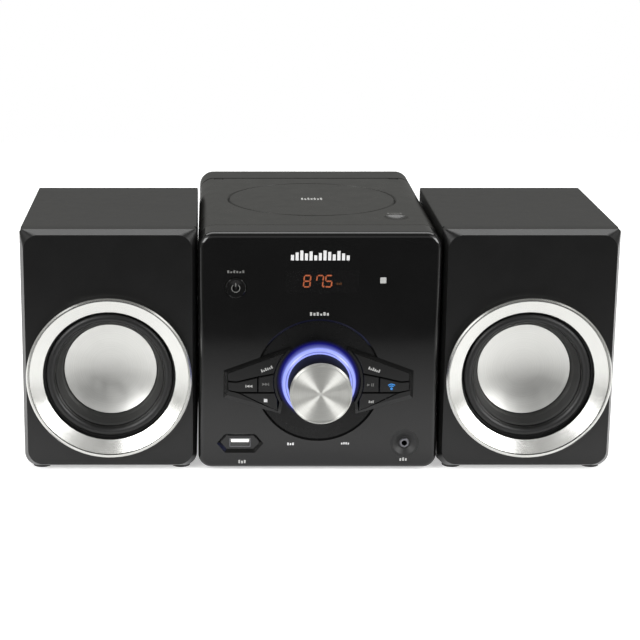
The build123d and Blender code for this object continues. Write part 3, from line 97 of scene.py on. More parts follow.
class Graph:
    """A material's node tree with short names for the nodes it takes."""

    def __init__(self, name):
        self.material = bpy.data.materials.new(name)
        self.material.use_nodes = True
        self.tree = self.material.node_tree
        self.shader = self.tree.nodes["Principled BSDF"]
        self.output = self.tree.nodes["Material Output"]
        self.place = self.add("ShaderNodeTexCoord").outputs["Object"]

    def add(self, kind, **settings):
        node = self.tree.nodes.new(kind)
        for key, value in settings.items():
            setattr(node, key, value)
        return node

    def link(self, source, target):
        self.tree.links.new(source, target)

    def noise(self, size, detail=3.0):
        """Noise whose blobs are about size metres across."""
        node = self.add("ShaderNodeTexNoise")
        node.inputs["Scale"].default_value = 1.0 / size
        node.inputs["Detail"].default_value = detail
        node.inputs["Roughness"].default_value = NOISE_ROUGHNESS
        self.link(self.place, node.inputs["Vector"])
        return node.outputs["Fac"]

    def ranged(self, source, low, high, start=0.3, end=0.7):
        node = self.add("ShaderNodeMapRange")
        node.inputs["From Min"].default_value = start
        node.inputs["From Max"].default_value = end
        node.inputs["To Min"].default_value = low
        node.inputs["To Max"].default_value = high
        self.link(source, node.inputs["Value"])
        return node.outputs["Result"]

    def math(self, operation, first, second=None):
        node = self.add("ShaderNodeMath", operation=operation)
        for socket, value in zip(node.inputs, (first, second)):
            if value is None:
                continue
            if isinstance(value, (int, float)):
                socket.default_value = value
            else:
                self.link(value, socket)
        return node.outputs["Value"]

    def mixed(self, factor, first, second):
        node = self.add("ShaderNodeMix", data_type="RGBA")
        for socket, value in ((node.inputs[0], factor), (node.inputs[6], first), (node.inputs[7], second)):
            if isinstance(value, (int, float, tuple)):
                socket.default_value = value
            else:
                self.link(value, socket)
        return node.outputs[2]

    def bumped(self, height, distance):
        node = self.add("ShaderNodeBump")
        node.inputs["Strength"].default_value = 1.0
        node.inputs["Distance"].default_value = distance
        self.link(height, node.inputs["Height"])
        return node.outputs["Normal"]

    def edges(self, radius):
        """1 along sharp edges, 0 on flat faces."""
        bevel = self.add("ShaderNodeBevel", samples=4)
        bevel.inputs["Radius"].default_value = radius
        normal = self.add("ShaderNodeNewGeometry").outputs["Normal"]
        dot = self.add("ShaderNodeVectorMath", operation="DOT_PRODUCT")
        self.link(bevel.outputs["Normal"], dot.inputs[0])
        self.link(normal, dot.inputs[1])
        return self.ranged(dot.outputs["Value"], 1.0, 0.0, EDGE_DOT, FLAT_DOT)

    def radius_from(self, x, z):
        """Distance in metres from a line along Y through x, z."""
        shift = self.add("ShaderNodeVectorMath", operation="SUBTRACT")
        shift.inputs[1].default_value = (x, 0.0, z)
        self.link(self.place, shift.inputs[0])
        flat = self.add("ShaderNodeVectorMath", operation="MULTIPLY")
        flat.inputs[1].default_value = (1.0, 0.0, 1.0)
        self.link(shift.outputs["Vector"], flat.inputs[0])
        length = self.add("ShaderNodeVectorMath", operation="LENGTH")
        self.link(flat.outputs["Vector"], length.inputs[0])
        return length.outputs["Value"]


def moulded(name, colour, rough, grain=0.0004, bump=0.000004, specular=0.5, metallic=0.0, vary=0.12,
            rough_vary=0.04, wear=0.25, worn=None):
    """Plastic, paint or metal with mottling, fine grain and lighter worn edges."""
    graph = Graph(name)
    shader = graph.shader
    broad = graph.noise(MOTTLE_SIZE, detail=4.0)
    toned = graph.mixed(graph.ranged(broad, 0.0, 1.0), scaled(colour, 1.0 - vary), scaled(colour, 1.0 + vary))
    fine = graph.noise(grain, detail=2.0)
    if wear:
        scuff = graph.ranged(graph.noise(SCUFF_SIZE), 0.0, 1.0, 0.42, 0.62)
        mask = graph.math("MULTIPLY", graph.edges(WORN_WIDTH), graph.math("MULTIPLY", scuff, wear))
        toned = graph.mixed(mask, toned, worn or scaled(colour, WORN_LIFT))
    graph.link(toned, shader.inputs["Base Color"])
    smudge = graph.ranged(graph.noise(SMUDGE_SIZE, detail=5.0), rough - rough_vary, rough + rough_vary)
    graph.link(smudge, shader.inputs["Roughness"])
    graph.link(graph.bumped(fine, bump), shader.inputs["Normal"])
    shader.inputs["Metallic"].default_value = metallic
    shader.inputs["Specular IOR Level"].default_value = specular
    return graph


# Turned metal: the size of its grooves and smudges, and how much its roughness varies.
GROOVE_PITCH = 0.35 * MM
GROOVE_SMUDGE = 8 * MM
GROOVE_ROUGH_VARY = 0.03


def spun(name, colour, rough, anisotropy, centre, bump=0.0000003, turn=0.0):
    """Metal turned about an axis along Y, with rings of fine grooves. Turn is a part of a full circle."""
    graph = Graph(name)
    shader = graph.shader
    radius = graph.radius_from(*centre)
    wave = graph.add("ShaderNodeTexNoise", noise_dimensions="1D")
    wave.inputs["Scale"].default_value = 1.0 / GROOVE_PITCH
    wave.inputs["Detail"].default_value = 3.0
    graph.link(radius, wave.inputs["W"])
    rings = wave.outputs["Fac"]
    graph.link(graph.mixed(graph.ranged(rings, 0.0, 1.0), scaled(colour, 0.9), scaled(colour, 1.06)),
               shader.inputs["Base Color"])
    smudge = graph.ranged(graph.noise(GROOVE_SMUDGE, detail=4.0), rough - GROOVE_ROUGH_VARY,
                          rough + GROOVE_ROUGH_VARY)
    graph.link(smudge, shader.inputs["Roughness"])
    graph.link(graph.bumped(rings, bump), shader.inputs["Normal"])
    tangent = graph.add("ShaderNodeTangent", direction_type="RADIAL", axis="Y")
    graph.link(tangent.outputs["Tangent"], shader.inputs["Tangent"])
    shader.inputs["Metallic"].default_value = 1.0
    shader.inputs["Anisotropic"].default_value = anisotropy
    shader.inputs["Anisotropic Rotation"].default_value = turn
    return graph


def glowing(name, colour, strength):
    """A lit surface with a slight unevenness."""
    graph = Graph(name)
    shader = graph.shader
    uneven = graph.ranged(graph.noise(0.0015), 0.0, 1.0)
    graph.link(graph.mixed(uneven, scaled(colour, 0.85), colour), shader.inputs["Emission Color"])
    graph.link(graph.mixed(uneven, scaled(colour, 0.3), scaled(colour, 0.4)), shader.inputs["Base Color"])
    shader.inputs["Emission Strength"].default_value = strength
    shader.inputs["Roughness"].default_value = 0.4
    return graph


# Finishes of moulded parts: colour and roughness, then the grain's size and the bump's depth in metres.
gloss_black = moulded("gloss_black", linear(10, 10, 10), 0.09, grain=0.0015, bump=0.0000015, specular=0.38,
                      rough_vary=0.02, wear=0.08)
lid_satin = moulded("lid_satin", linear(20, 20, 18), 0.30, grain=0.0005, bump=0.000004)
shell_satin = moulded("shell_satin", linear(18, 18, 17), 0.33, grain=0.0005, bump=0.000006)
baffle_satin = moulded("baffle_satin", linear(13, 13, 13), 0.30, grain=0.0005, bump=0.000004, specular=0.3,
                       rough_vary=0.015)
inner_satin = moulded("inner_satin", linear(24, 24, 24), 0.45, grain=0.0006, bump=0.00001)
plate_black = moulded("plate_black", linear(8, 8, 8), 0.28, grain=0.0005, bump=0.000003, specular=0.18)
knob_black = moulded("knob_black", linear(4, 4, 4), 0.55, grain=0.0005, bump=0.000006, specular=0.1, wear=0.1)
key_black = moulded("key_black", linear(9, 9, 9), 0.24, grain=0.0005, bump=0.000004, specular=0.3, wear=0.25)
vinyl = moulded("vinyl_black", linear(16, 16, 15), 0.38, grain=0.0006, bump=0.000014, rough_vary=0.03,
                wear=0.3)
rubber = moulded("rubber_black", linear(18, 18, 18), 0.55, grain=0.0006, bump=0.00001, wear=0.1)
roll_rubber = moulded("roll_rubber", linear(12, 12, 12), 0.40, grain=0.0008, bump=0.000006, specular=0.32,
                      wear=0.0)
paper = moulded("paper_black", linear(15, 15, 14), 0.62, grain=0.0007, bump=0.00002, wear=0.0, vary=0.2)
metal_bright = moulded("metal_bright", linear(222, 222, 225), 0.22, grain=0.0003, bump=0.000004, metallic=1.0,
                       vary=0.05, wear=0.2)
steel_dark = moulded("steel_dark", linear(70, 70, 74), 0.4, metallic=1.0, bump=0.00001, vary=0.15)
steel_plain = moulded("steel_plain", linear(170, 172, 176), 0.3, metallic=1.0, bump=0.000006)
ferrite = moulded("ferrite", linear(46, 45, 44), 0.6, grain=0.0005, bump=0.00003, vary=0.2)
board_green = moulded("board_green", linear(24, 84, 48), 0.35, grain=0.002, bump=0.00001, vary=0.25)
module_grey = moulded("module_grey", linear(60, 61, 63), 0.45, grain=0.0005, bump=0.000008)
socket_steel = moulded("socket_steel", linear(104, 104, 108), 0.3, grain=0.0003, bump=0.000004, metallic=1.0,
                       vary=0.1)
module_black = moulded("module_black", linear(6, 6, 6), 0.5, grain=0.0005, bump=0.000004, wear=0.0)
tongue_white = moulded("tongue_white", linear(226, 226, 222), 0.4, grain=0.0005, bump=0.000004, vary=0.03,
                       wear=0.2, worn=linear(200, 200, 196))
# Painted glow: a faint white emission makes the USB tongue read brighter than its lighting gives it.
tongue_white.shader.inputs["Emission Color"].default_value = linear(226, 226, 222)
tongue_white.shader.inputs["Emission Strength"].default_value = 0.25
switch_black = moulded("switch_black", linear(20, 20, 21), 0.42, grain=0.0004, bump=0.000006)
copper_iron = moulded("copper_iron", linear(120, 74, 48), 0.5, grain=0.0008, bump=0.00003, metallic=0.6,
                      vary=0.3)
ink = moulded("ink_pale", linear(150, 150, 148), 0.5, grain=0.0003, bump=0.000002, vary=0.06, wear=0.0)
ink_bright = moulded("ink_bright", linear(190, 190, 190), 0.4, grain=0.0003, bump=0.000002, vary=0.04,
                     wear=0.0)
ink_dim = moulded("ink_dim", linear(88, 88, 86), 0.5, grain=0.0003, bump=0.000002, vary=0.06, wear=0.0)
ink_blue = moulded("ink_blue", linear(38, 120, 190), 0.4, grain=0.0003, bump=0.000002, vary=0.08, wear=0.0)
digit_lit = glowing("digit_lit", linear(255, 140, 92), 15.0)
digit_dim = glowing("digit_dim", linear(230, 150, 90), 4.0)

spun_silver = spun("spun_silver", linear(186, 186, 182), 0.44, 1.0, KNOB, bump=0.0000015, turn=0.25)
ring_silver = {
    side: spun("ring_silver_" + side, linear(190, 190, 187), 0.24, 0.45, RINGS[side], bump=0.0000015)
    for side in RINGS
}
dish_silver = {
    side: spun("dish_silver_" + side, linear(186, 186, 183), 0.34, 0.0, RINGS[side])
    for side in RINGS
}


# The recess round the AUX socket: how far it reaches, how rough it is and how softly it ends.
AUX_RECESS_REACH = 9.0 * MM
AUX_RECESS_ROUGH = 0.5
RECESS_FADE = 0.5 * MM

# Round the knob's axis: where the collar's pale front ends and its deep blue starts, the darker line with
# half its width, and where the painted glow on the plate starts and ends.
COLLAR_LIT = 22.9 * MM
COLLAR_DEEP = 24.1 * MM
COLLAR_LINE = 21.1 * MM
LINE_HALF = 0.15 * MM
LINE_FADE = 0.45 * MM
HALO_START = 23.8 * MM
HALO_END = 27.0 * MM
HALO_GLOW = 0.8


def matt_recess(graph, node, reach, rough):
    """Satin moulding in the recess round a socket, inside a glossy front."""
    near = graph.ranged(graph.radius_from(*middle_of(node)), rough, 0.0, reach, reach + RECESS_FADE)
    gloss = graph.shader.inputs["Roughness"].links[0].from_socket
    graph.link(graph.math("MAXIMUM", near, gloss), graph.shader.inputs["Roughness"])


matt_recess(gloss_black, "aux_bushing", AUX_RECESS_REACH, AUX_RECESS_ROUGH)


def painted_halo(graph):
    """Painted glow: blue light from the ring, painted as emission on the plate next to it."""
    radius = graph.radius_from(*KNOB)
    near = graph.ranged(radius, HALO_GLOW, 0.0, HALO_START, HALO_END)
    soft = graph.math("POWER", near, 2.0)
    graph.link(soft, graph.shader.inputs["Emission Strength"])
    graph.shader.inputs["Emission Color"].default_value = linear(22, 20, 150)


painted_halo(plate_black)


def ring_light():
    """Frosted collar: pale violet-blue on its front, with a darker line, and deep blue on its outer wall."""
    graph = Graph("ring_light")
    shader = graph.shader
    radius = graph.radius_from(*KNOB)
    core = graph.ranged(radius, 1.0, 0.0, COLLAR_LIT, COLLAR_DEEP)
    off_line = graph.math("ABSOLUTE", graph.math("SUBTRACT", radius, COLLAR_LINE))
    line = graph.ranged(off_line, 0.55, 1.0, LINE_HALF, LINE_FADE)
    frost = graph.ranged(graph.noise(0.0012), 0.94, 1.0)
    lit = graph.math("MULTIPLY", graph.math("MULTIPLY", core, line), frost)
    graph.link(graph.mixed(lit, linear(30, 28, 150), linear(160, 172, 255)), shader.inputs["Emission Color"])
    graph.link(graph.ranged(lit, 0.35, 1.0, 0.0, 1.0), shader.inputs["Emission Strength"])
    graph.link(graph.mixed(lit, linear(16, 16, 50), linear(50, 54, 100)), shader.inputs["Base Color"])
    shader.inputs["Roughness"].default_value = 0.25
    return graph


WINDOW_HAZE = 0.4
WINDOW_IOR = 1.5


def smoked():
    """Dark window: a dim view through, a little haze in it, and the panel's gloss on top."""
    graph = Graph("smoke_window")
    clear = graph.add("ShaderNodeBsdfTransparent")
    uneven = graph.ranged(graph.noise(0.02), 0.0, 1.0)
    tint = graph.mixed(uneven, (0.30, 0.30, 0.30, 1.0), (0.34, 0.34, 0.34, 1.0))
    graph.link(tint, clear.inputs["Color"])
    shine = graph.add("ShaderNodeBsdfGlossy")
    shine.inputs["Color"].default_value = (1.0, 1.0, 1.0, 1.0)
    graph.link(graph.ranged(graph.noise(SMUDGE_SIZE), 0.06, 0.11), shine.inputs["Roughness"])
    fresnel = graph.add("ShaderNodeFresnel")
    fresnel.inputs["IOR"].default_value = WINDOW_IOR
    graph.link(graph.bumped(graph.noise(0.0015), 0.0000015), shine.inputs["Normal"])
    haze = graph.add("ShaderNodeBsdfDiffuse")
    haze.inputs["Color"].default_value = linear(20, 20, 20)
    body = graph.add("ShaderNodeMixShader")
    body.inputs["Fac"].default_value = WINDOW_HAZE
    graph.link(clear.outputs["BSDF"], body.inputs[1])
    graph.link(haze.outputs["BSDF"], body.inputs[2])
    mix = graph.add("ShaderNodeMixShader")
    graph.link(fresnel.outputs["Fac"], mix.inputs["Fac"])
    graph.link(body.outputs["Shader"], mix.inputs[1])
    graph.link(shine.outputs["BSDF"], mix.inputs[2])
    graph.link(mix.outputs["Shader"], graph.output.inputs["Surface"])
    return graph


FINISHES = {
    "gloss_black": gloss_black, "satin_black": shell_satin, "control_black": plate_black,
    "key_black": key_black, "vinyl_black": vinyl, "silver_ring": ring_silver["left"],
    "spun_silver": spun_silver, "cap_silver": dish_silver["left"], "rubber_black": rubber,
    "paper_black": paper, "ring_light": ring_light(), "smoke_window": smoked(),
    "metal_bright": metal_bright, "steel_dark": steel_dark, "steel_plain": steel_plain, "ferrite": ferrite,
    "board_green": board_green, "module_grey": module_grey, "tongue_white": tongue_white,
    "switch_black": switch_black, "copper_iron": copper_iron,
}
OWN_FINISH = {
    "lid": lid_satin, "disc_tray": inner_satin, "speaker_baffle_left": baffle_satin,
    "speaker_baffle_right": baffle_satin, "surround_left": roll_rubber, "surround_right": roll_rubber,
    "volume_knob": knob_black, "usb_shell": socket_steel, "aux_bushing": socket_steel,
    "display_module": module_black, "trim_ring_right": ring_silver["right"],
    "dust_cap_right": dish_silver["right"],
}
for node_name, node in nodes.items():
    for place in node.material_slots:
        slot_name = place.material.name.split(".")[0]
        place.material = OWN_FINISH.get(node_name, FINISHES[slot_name]).material


# ---------------------------------------------------------------- turned metal

LATHE_STEPS = 180
SHARP_CORNER = math.radians(25.0)


def lathed(name, node, body, finish, profile):
    """Smooth round piece in place of a node, turned about the node's middle from (y, radius) points."""
    x, z = middle_of(node)
    mesh = bpy.data.meshes.new(name)
    work = bmesh.new()
    rings = []
    for y, radius in profile:
        angles = [2 * math.pi * step / LATHE_STEPS for step in range(LATHE_STEPS)] if radius else [0.0]
        places = [(x + radius * math.cos(angle), y, z + radius * math.sin(angle)) for angle in angles]
        rings.append([work.verts.new(place) for place in places])
    for first, second in zip(rings, rings[1:]):
        for step in range(LATHE_STEPS):
            after = (step + 1) % LATHE_STEPS
            corners = (first[step % len(first)], first[after % len(first)],
                       second[after % len(second)], second[step % len(second)])
            work.faces.new(list(dict.fromkeys(corners)))
    bmesh.ops.recalc_face_normals(work, faces=work.faces)
    work.to_mesh(mesh)
    work.free()
    mesh.shade_smooth()
    mesh.set_sharp_from_angle(angle=SHARP_CORNER)
    mesh.materials.append(finish.material)
    piece = bpy.data.objects.new(name, mesh)
    scene.collection.objects.link(piece)
    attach(piece, body)
    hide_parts(node)


# Face of the knob: a narrow raised rim round a very slightly sunk disc.
RIM_EDGE = 0.6 * MM
RIM_STEP = 0.3 * MM
face_low, face_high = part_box("knob_cap")
face_radius = (face_high.x - face_low.x) / 2
lathed("knob_face", "knob_cap", "knob", spun_silver, [
    (face_high.y, 0.0),
    (face_high.y, face_radius),
    (face_low.y + RIM_EDGE, face_radius),
    (face_low.y, face_radius - RIM_EDGE),
    (face_low.y, face_radius - 2 * RIM_EDGE),
    (face_low.y + RIM_STEP, face_radius - 2 * RIM_EDGE - RIM_STEP),
    (face_low.y + RIM_STEP, 0.0),
])

# Dished caps: part of a sphere, hollow towards the front.
DISH_STEPS = 24
DISH_THICK = 1.0 * MM
for side in RINGS:
    node = "dust_cap_" + side
    dish_low, dish_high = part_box(node)
    dish_radius = (dish_high.x - dish_low.x) / 2
    sink = dish_high.y - dish_low.y - DISH_THICK
    sphere = (dish_radius ** 2 + sink ** 2) / (2 * sink)
    dish_front = []
    for step in range(DISH_STEPS + 1):
        radius = dish_radius * step / DISH_STEPS
        sag = sphere - math.sqrt(sphere ** 2 - radius ** 2)
        dish_front.append((dish_low.y + sink - sag, radius))
    dish_back = [(y + DISH_THICK, radius) for y, radius in reversed(dish_front)]
    lathed("dish_" + side, node, "cone_" + side, dish_silver[side], dish_front + dish_back)


# ---------------------------------------------------------------- printed marks

PRINT_THICK = 0.04 * MM
PRINT_GAP = 0.01 * MM


def front_place(proud):
    """Maps x, height and lift in mm on the front to metres."""
    return lambda x, z, lift: Vector((x * MM, FRONT - proud * MM - PRINT_GAP - lift * MM, BASE + z * MM))


def top_place(height):
    """Maps x, depth behind the front and lift in mm on the top to metres."""
    level = BASE + height * MM + PRINT_GAP
    return lambda x, depth, lift: Vector((x * MM, FRONT + depth * MM, level + lift * MM))


def printed(name, shapes, place, body, finish, thick=PRINT_THICK / MM):
    """Thin raised ink: each shape is a closed outline in mm, turned anticlockwise as seen."""
    mesh = bpy.data.meshes.new(name)
    work = bmesh.new()
    for shape in shapes:
        back = [work.verts.new(place(a, b, 0.0)) for a, b in shape]
        front = [work.verts.new(place(a, b, thick)) for a, b in shape]
        work.faces.new(front)
        work.faces.new(back[::-1])
        for index in range(len(shape)):
            after = (index + 1) % len(shape)
            work.faces.new((back[index], back[after], front[after], front[index]))
    bmesh.ops.triangulate(work, faces=[face for face in work.faces if len(face.verts) > 4])
    bmesh.ops.recalc_face_normals(work, faces=work.faces)
    work.to_mesh(mesh)
    work.free()
    mesh.materials.append(finish.material)
    piece = bpy.data.objects.new(name, mesh)
    scene.collection.objects.link(piece)
    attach(piece, body)


def moved(shape, x, z, turn=0.0):
    """A shape turned by some degrees and put with its origin at x, z."""
    cosine = math.cos(math.radians(turn))
    sine = math.sin(math.radians(turn))
    return [(x + a * cosine - b * sine, z + a * sine + b * cosine) for a, b in shape]


def all_moved(shapes, x, z, turn=0.0):
    return [moved(shape, x, z, turn) for shape in shapes]


def bar(x, z, width, height):
    return [(x - width / 2, z - height / 2), (x + width / 2, z - height / 2),
            (x + width / 2, z + height / 2), (x - width / 2, z + height / 2)]


ARC_STEPS = 24


def arc(x, z, inner, outer, start, end):
    """Part of a ring, from one angle to another in degrees."""
    angles = [math.radians(start + (end - start) * step / ARC_STEPS) for step in range(ARC_STEPS + 1)]
    rim = [(x + outer * math.cos(angle), z + outer * math.sin(angle)) for angle in angles]
    hole = [(x + inner * math.cos(angle), z + inner * math.sin(angle)) for angle in reversed(angles)]
    return rim + hole


def ticks(width, height, heights=(1, 0.6, 1, 0.8, 0.6, 1), fill=0.62):
    """A generic label: a row of short upright ticks, centred on the origin."""
    pitch = width / len(heights)
    return [bar((index + 0.5) * pitch - width / 2, (part - 1) * height / 2, pitch * fill, height * part)
            for index, part in enumerate(heights)]


def pointer(width, height, way=1):
    """A triangle that points along +X, or along -X where way is -1."""
    shape = [(-width / 2, -height / 2), (width / 2, 0.0), (-width / 2, height / 2)]
    return shape if way > 0 else [(-a, b) for a, b in reversed(shape)]


# How far the button and the keys stand out of the front, in mm.
BUTTON_PROUD = 0.8
KEY_PROUD = 2.9
FACE = front_place(0.0)
KEY_FACE = front_place(KEY_PROUD)
BUTTON_FACE = front_place(BUTTON_PROUD)
LID_TOP = top_place(LID_HEIGHT)

# Badge over the display: a row of level bars in place of a name.
BADGE_LEVELS = (0.55, 0.8, 1.0, 0.7, 0.9, 0.5, 0.75, 1.0, 0.85, 0.6, 0.95, 0.7, 0.5)
BADGE_HEIGHT = 140.5
BADGE_THICK = 0.25
printed("badge_bars", all_moved(ticks(37.7, 6.3, BADGE_LEVELS, 0.66), 0.0, BADGE_HEIGHT), FACE, "main_unit",
        ink_bright, BADGE_THICK)

# Symbols, in mm about their own middle.
POWER = [arc(0.0, 0.0, 2.3, 2.8, 125.0, 415.0), bar(0.0, 2.2, 0.55, 2.6)]
PREVIOUS = [pointer(1.9, 1.9, -1), moved(pointer(1.9, 1.9, -1), 1.9, 0.0), bar(-1.25, 0.0, 0.5, 1.9)]
NEXT = [pointer(1.9, 1.9), moved(pointer(1.9, 1.9), -1.9, 0.0), bar(1.25, 0.0, 0.5, 1.9)]
STOP = [bar(0.0, 0.0, 2.2, 2.2)]
PLAY = [moved(pointer(1.9, 1.9), -1.4, 0.0), bar(0.6, 0.0, 0.5, 1.9), bar(1.6, 0.0, 0.5, 1.9)]
WIRELESS = [arc(0.0, -1.6, 1.5, 2.1, 45.0, 135.0), arc(0.0, -1.6, 2.7, 3.3, 45.0, 135.0),
            arc(0.0, -1.6, 0.0001, 0.8, 0.0, 359.0)]
SENSOR = [bar(0.0, 0.0, 3.8, 3.8)]
LID_TICKS = ticks(15.0, 7.0, (1, 0.7, 1, 0.8, 1, 0.7, 1))

# Name, shapes, x, height (or depth on the lid), turn in degrees, place, body and ink of each printed mark.
MARKS = (
    ("mark_standby", ticks(11.4, 1.7), -52.8, 130.0, 0.0, FACE, "main_unit", ink_dim),
    ("icon_standby", POWER, -52.8, 119.5, 0.0, BUTTON_FACE, "standby_button", ink_dim),
    ("mark_volume", ticks(12.7, 2.2, (1, 0.8, 1, 0.6, 1, 0.8)), 0.0, 102.7, 0.0, FACE, "main_unit", ink),
    ("mark_usb", ticks(5.2, 2.2, (1, 0.8, 1)), -48.4, 4.5, 0.0, FACE, "main_unit", ink),
    ("mark_aux", ticks(5.2, 2.2, (0.8, 1, 0.8)), 55.2, 6.2, 0.0, FACE, "main_unit", ink),
    ("mark_lower_left", ticks(4.8, 1.7, (1, 0.8, 1)), -17.3, 16.5, 0.0, FACE, "main_unit", ink_bright),
    ("mark_lower_right", ticks(5.6, 1.5, (0.8, 1, 1, 0.8)), 17.7, 16.9, 0.0, FACE, "main_unit", ink_bright),
    ("sensor_square", SENSOR, 39.7, 124.4, 0.0, FACE, "main_unit", ink),
    ("mark_memory", ticks(8.0, 2.0), -33.0, 67.4, 22.0, KEY_FACE, "key_memory", ink),
    ("icon_previous", PREVIOUS, -44.9, 56.0, 0.0, KEY_FACE, "key_previous", ink),
    ("icon_next", NEXT, -33.0, 57.3, 0.0, KEY_FACE, "key_next", ink_dim),
    ("icon_stop", STOP, -33.6, 46.5, 0.0, KEY_FACE, "key_stop", ink_bright),
    ("mark_source", ticks(8.0, 2.0), 35.1, 67.0, -18.0, KEY_FACE, "key_source", ink),
    ("icon_play", PLAY, 33.1, 56.9, 0.0, KEY_FACE, "key_play", ink_dim),
    ("icon_wireless", WIRELESS, 46.3, 56.0, 0.0, KEY_FACE, "key_wireless", ink_blue),
    ("mark_tone", ticks(3.6, 1.7, (1, 0.8, 1)), 33.6, 45.7, 0.0, KEY_FACE, "key_tone", ink),
    ("mark_lid", LID_TICKS, 0.0, DISC_DEPTH / MM, 0.0, LID_TOP, "lid", ink),
    ("mark_finger", ticks(10.0, 3.2, (1, 0.8, 1, 0.7, 1)), 51.7, 60.0, 0.0, LID_TOP, "lid", ink_dim),
)
for mark, shapes, x, height, turn, place, body, finish in MARKS:
    printed(mark, all_moved(shapes, x, height, turn), place, body, finish)

# Lit digits behind the window.
SEGMENTS = {
    "a": ((0, 1), (1, 1)), "b": ((1, 1), (1, 0.5)), "c": ((1, 0.5), (1, 0)), "d": ((0, 0), (1, 0)),
    "e": ((0, 0.5), (0, 0)), "f": ((0, 1), (0, 0.5)), "g": ((0, 0.5), (1, 0.5)),
}
DIGITS = {"8": "abcdefg", "7": "abcf", "5": "acdfg"}
DIGIT_WIDE = 4.0
DIGIT_HIGH = 7.3
STROKE = 0.85
SEGMENT_GAP = 0.22
SLANT = 0.09


def segment(start, end):
    """A bar with pointed ends between two corners of a digit."""
    (x0, z0), (x1, z1) = ((a * DIGIT_WIDE, b * DIGIT_HIGH) for a, b in (start, end))
    along = Vector((x1 - x0, z1 - z0)).normalized()
    across = Vector((-along.y, along.x)) * STROKE / 2
    first = Vector((x0, z0)) + along * SEGMENT_GAP
    last = Vector((x1, z1)) - along * SEGMENT_GAP
    inset = along * STROKE / 2
    corners = (first, first + inset - across, last - inset - across, last, last - inset + across,
               first + inset + across)
    return [(corner.x + corner.y * SLANT, corner.y) for corner in corners]


def digit(figure, x, z):
    left = x - DIGIT_WIDE / 2 - DIGIT_HIGH * SLANT / 2
    return all_moved([segment(*SEGMENTS[part]) for part in DIGITS[figure]], left, z - DIGIT_HIGH / 2)


# The module's face lies this far behind the front, in mm, and the digits stand on it.
MODULE_FACE = front_place(-4.6)
DIGIT_HEIGHT = 122.8
DIGIT_THICK = 0.1
POINT = bar(2.6, 119.3, 1.0, 1.0)
figures = digit("8", -7.8, DIGIT_HEIGHT) + digit("7", 0.2, DIGIT_HEIGHT) + digit("5", 5.8, DIGIT_HEIGHT)
printed("digits", figures + [POINT], MODULE_FACE, "main_unit", digit_lit, DIGIT_THICK)
unit_ticks = all_moved(ticks(3.6, 1.4, (1, 0.8, 1)), 12.4, 121.2)
printed("digit_unit", unit_ticks, MODULE_FACE, "main_unit", digit_dim, DIGIT_THICK)


# ---------------------------------------------------------------- stage, light and camera

FLOOR_FRONT = FRONT - 0.317
FLOOR_BACK = 1.2
FLOOR_HALF = 3.0
FLOOR_SOLID = FRONT - 0.05
FLOOR_THIN = 0.15
FLOOR_GLOW = 0.45


def stage_plane(name, corners, graph):
    mesh = bpy.data.meshes.new(name)
    mesh.from_pydata(corners, [], [tuple(range(len(corners)))])
    mesh.materials.append(graph.material)
    plane = bpy.data.objects.new(name, mesh)
    scene.collection.objects.link(plane)


pale = moulded("studio_pale", linear(238, 238, 238), 0.6, grain=0.002, bump=0.00001, vary=0.01, wear=0.0)


def feathered(graph):
    """Thins the floor out towards its front edge, so that its reflection starts softly."""
    axes = graph.add("ShaderNodeSeparateXYZ")
    graph.link(graph.place, axes.inputs["Vector"])
    solid = graph.ranged(axes.outputs["Y"], FLOOR_THIN, 1.0, FLOOR_FRONT, FLOOR_SOLID)
    mix = graph.add("ShaderNodeMixShader")
    graph.link(solid, mix.inputs["Fac"])
    graph.link(graph.add("ShaderNodeBsdfTransparent").outputs["BSDF"], mix.inputs[1])
    graph.link(graph.shader.outputs["BSDF"], mix.inputs[2])
    graph.link(mix.outputs["Shader"], graph.output.inputs["Surface"])


pale.shader.inputs["Emission Color"].default_value = (1.0, 1.0, 1.0, 1.0)
pale.shader.inputs["Emission Strength"].default_value = FLOOR_GLOW
feathered(pale)
stage_plane("floor", [(-FLOOR_HALF, FLOOR_FRONT, 0.0), (FLOOR_HALF, FLOOR_FRONT, 0.0),
                      (FLOOR_HALF, FLOOR_BACK, 0.0), (-FLOOR_HALF, FLOOR_BACK, 0.0)], pale)


def area_light(name, place, aim, wide, high, power):
    light = bpy.data.lights.new(name, "AREA")
    light.shape = "RECTANGLE"
    light.size = wide
    light.size_y = high
    light.energy = power
    lamp = bpy.data.objects.new(name, light)
    lamp.location = place
    lamp.rotation_euler = (Vector(aim) - Vector(place)).to_track_quat("-Z", "Y").to_euler()
    scene.collection.objects.link(lamp)


# The middle of the fronts, and the knob.
FRONTS = (0.0, 0.0, 0.08)
KNOB_AIM = (0.0, -0.12, 0.06)

# Name, place, aim, width, height and power in watts of each soft box.
LIGHTS = (
    ("top_box", (0.0, 0.5, 1.7), (0.0, 0.05, 0.0), 2.4, 1.2, 34.0),
    ("left_box", (-1.1, -0.9, 0.95), FRONTS, 1.1, 1.1, 7.0),
    ("right_box", (1.1, -0.9, 0.95), FRONTS, 1.1, 1.1, 7.0),
    ("front_box", (0.0, -1.9, 0.95), FRONTS, 2.4, 0.9, 4.0),
    ("left_spot", (-0.85, -1.03, 0.59), KNOB_AIM, 0.60, 0.60, 12.0),
    ("right_spot", (0.97, -0.93, 0.55), KNOB_AIM, 0.60, 0.60, 12.0),
)
for light_row in LIGHTS:
    area_light(*light_row)

# The studio as the object sees it: dark ahead, lighter behind and above, lightest at the sides. The camera
# sees plain white.
AHEAD_TONE = (0.10, 0.10, 0.10, 1.0)
BEHIND_TONE = (0.26, 0.26, 0.25, 1.0)
SIDE_TONE = (0.60, 0.60, 0.58, 1.0)
WHITE = (1.0, 1.0, 1.0, 1.0)

world = bpy.data.worlds.new("studio")
scene.world = world
world.use_nodes = True
wires = world.node_tree
wires.nodes.clear()


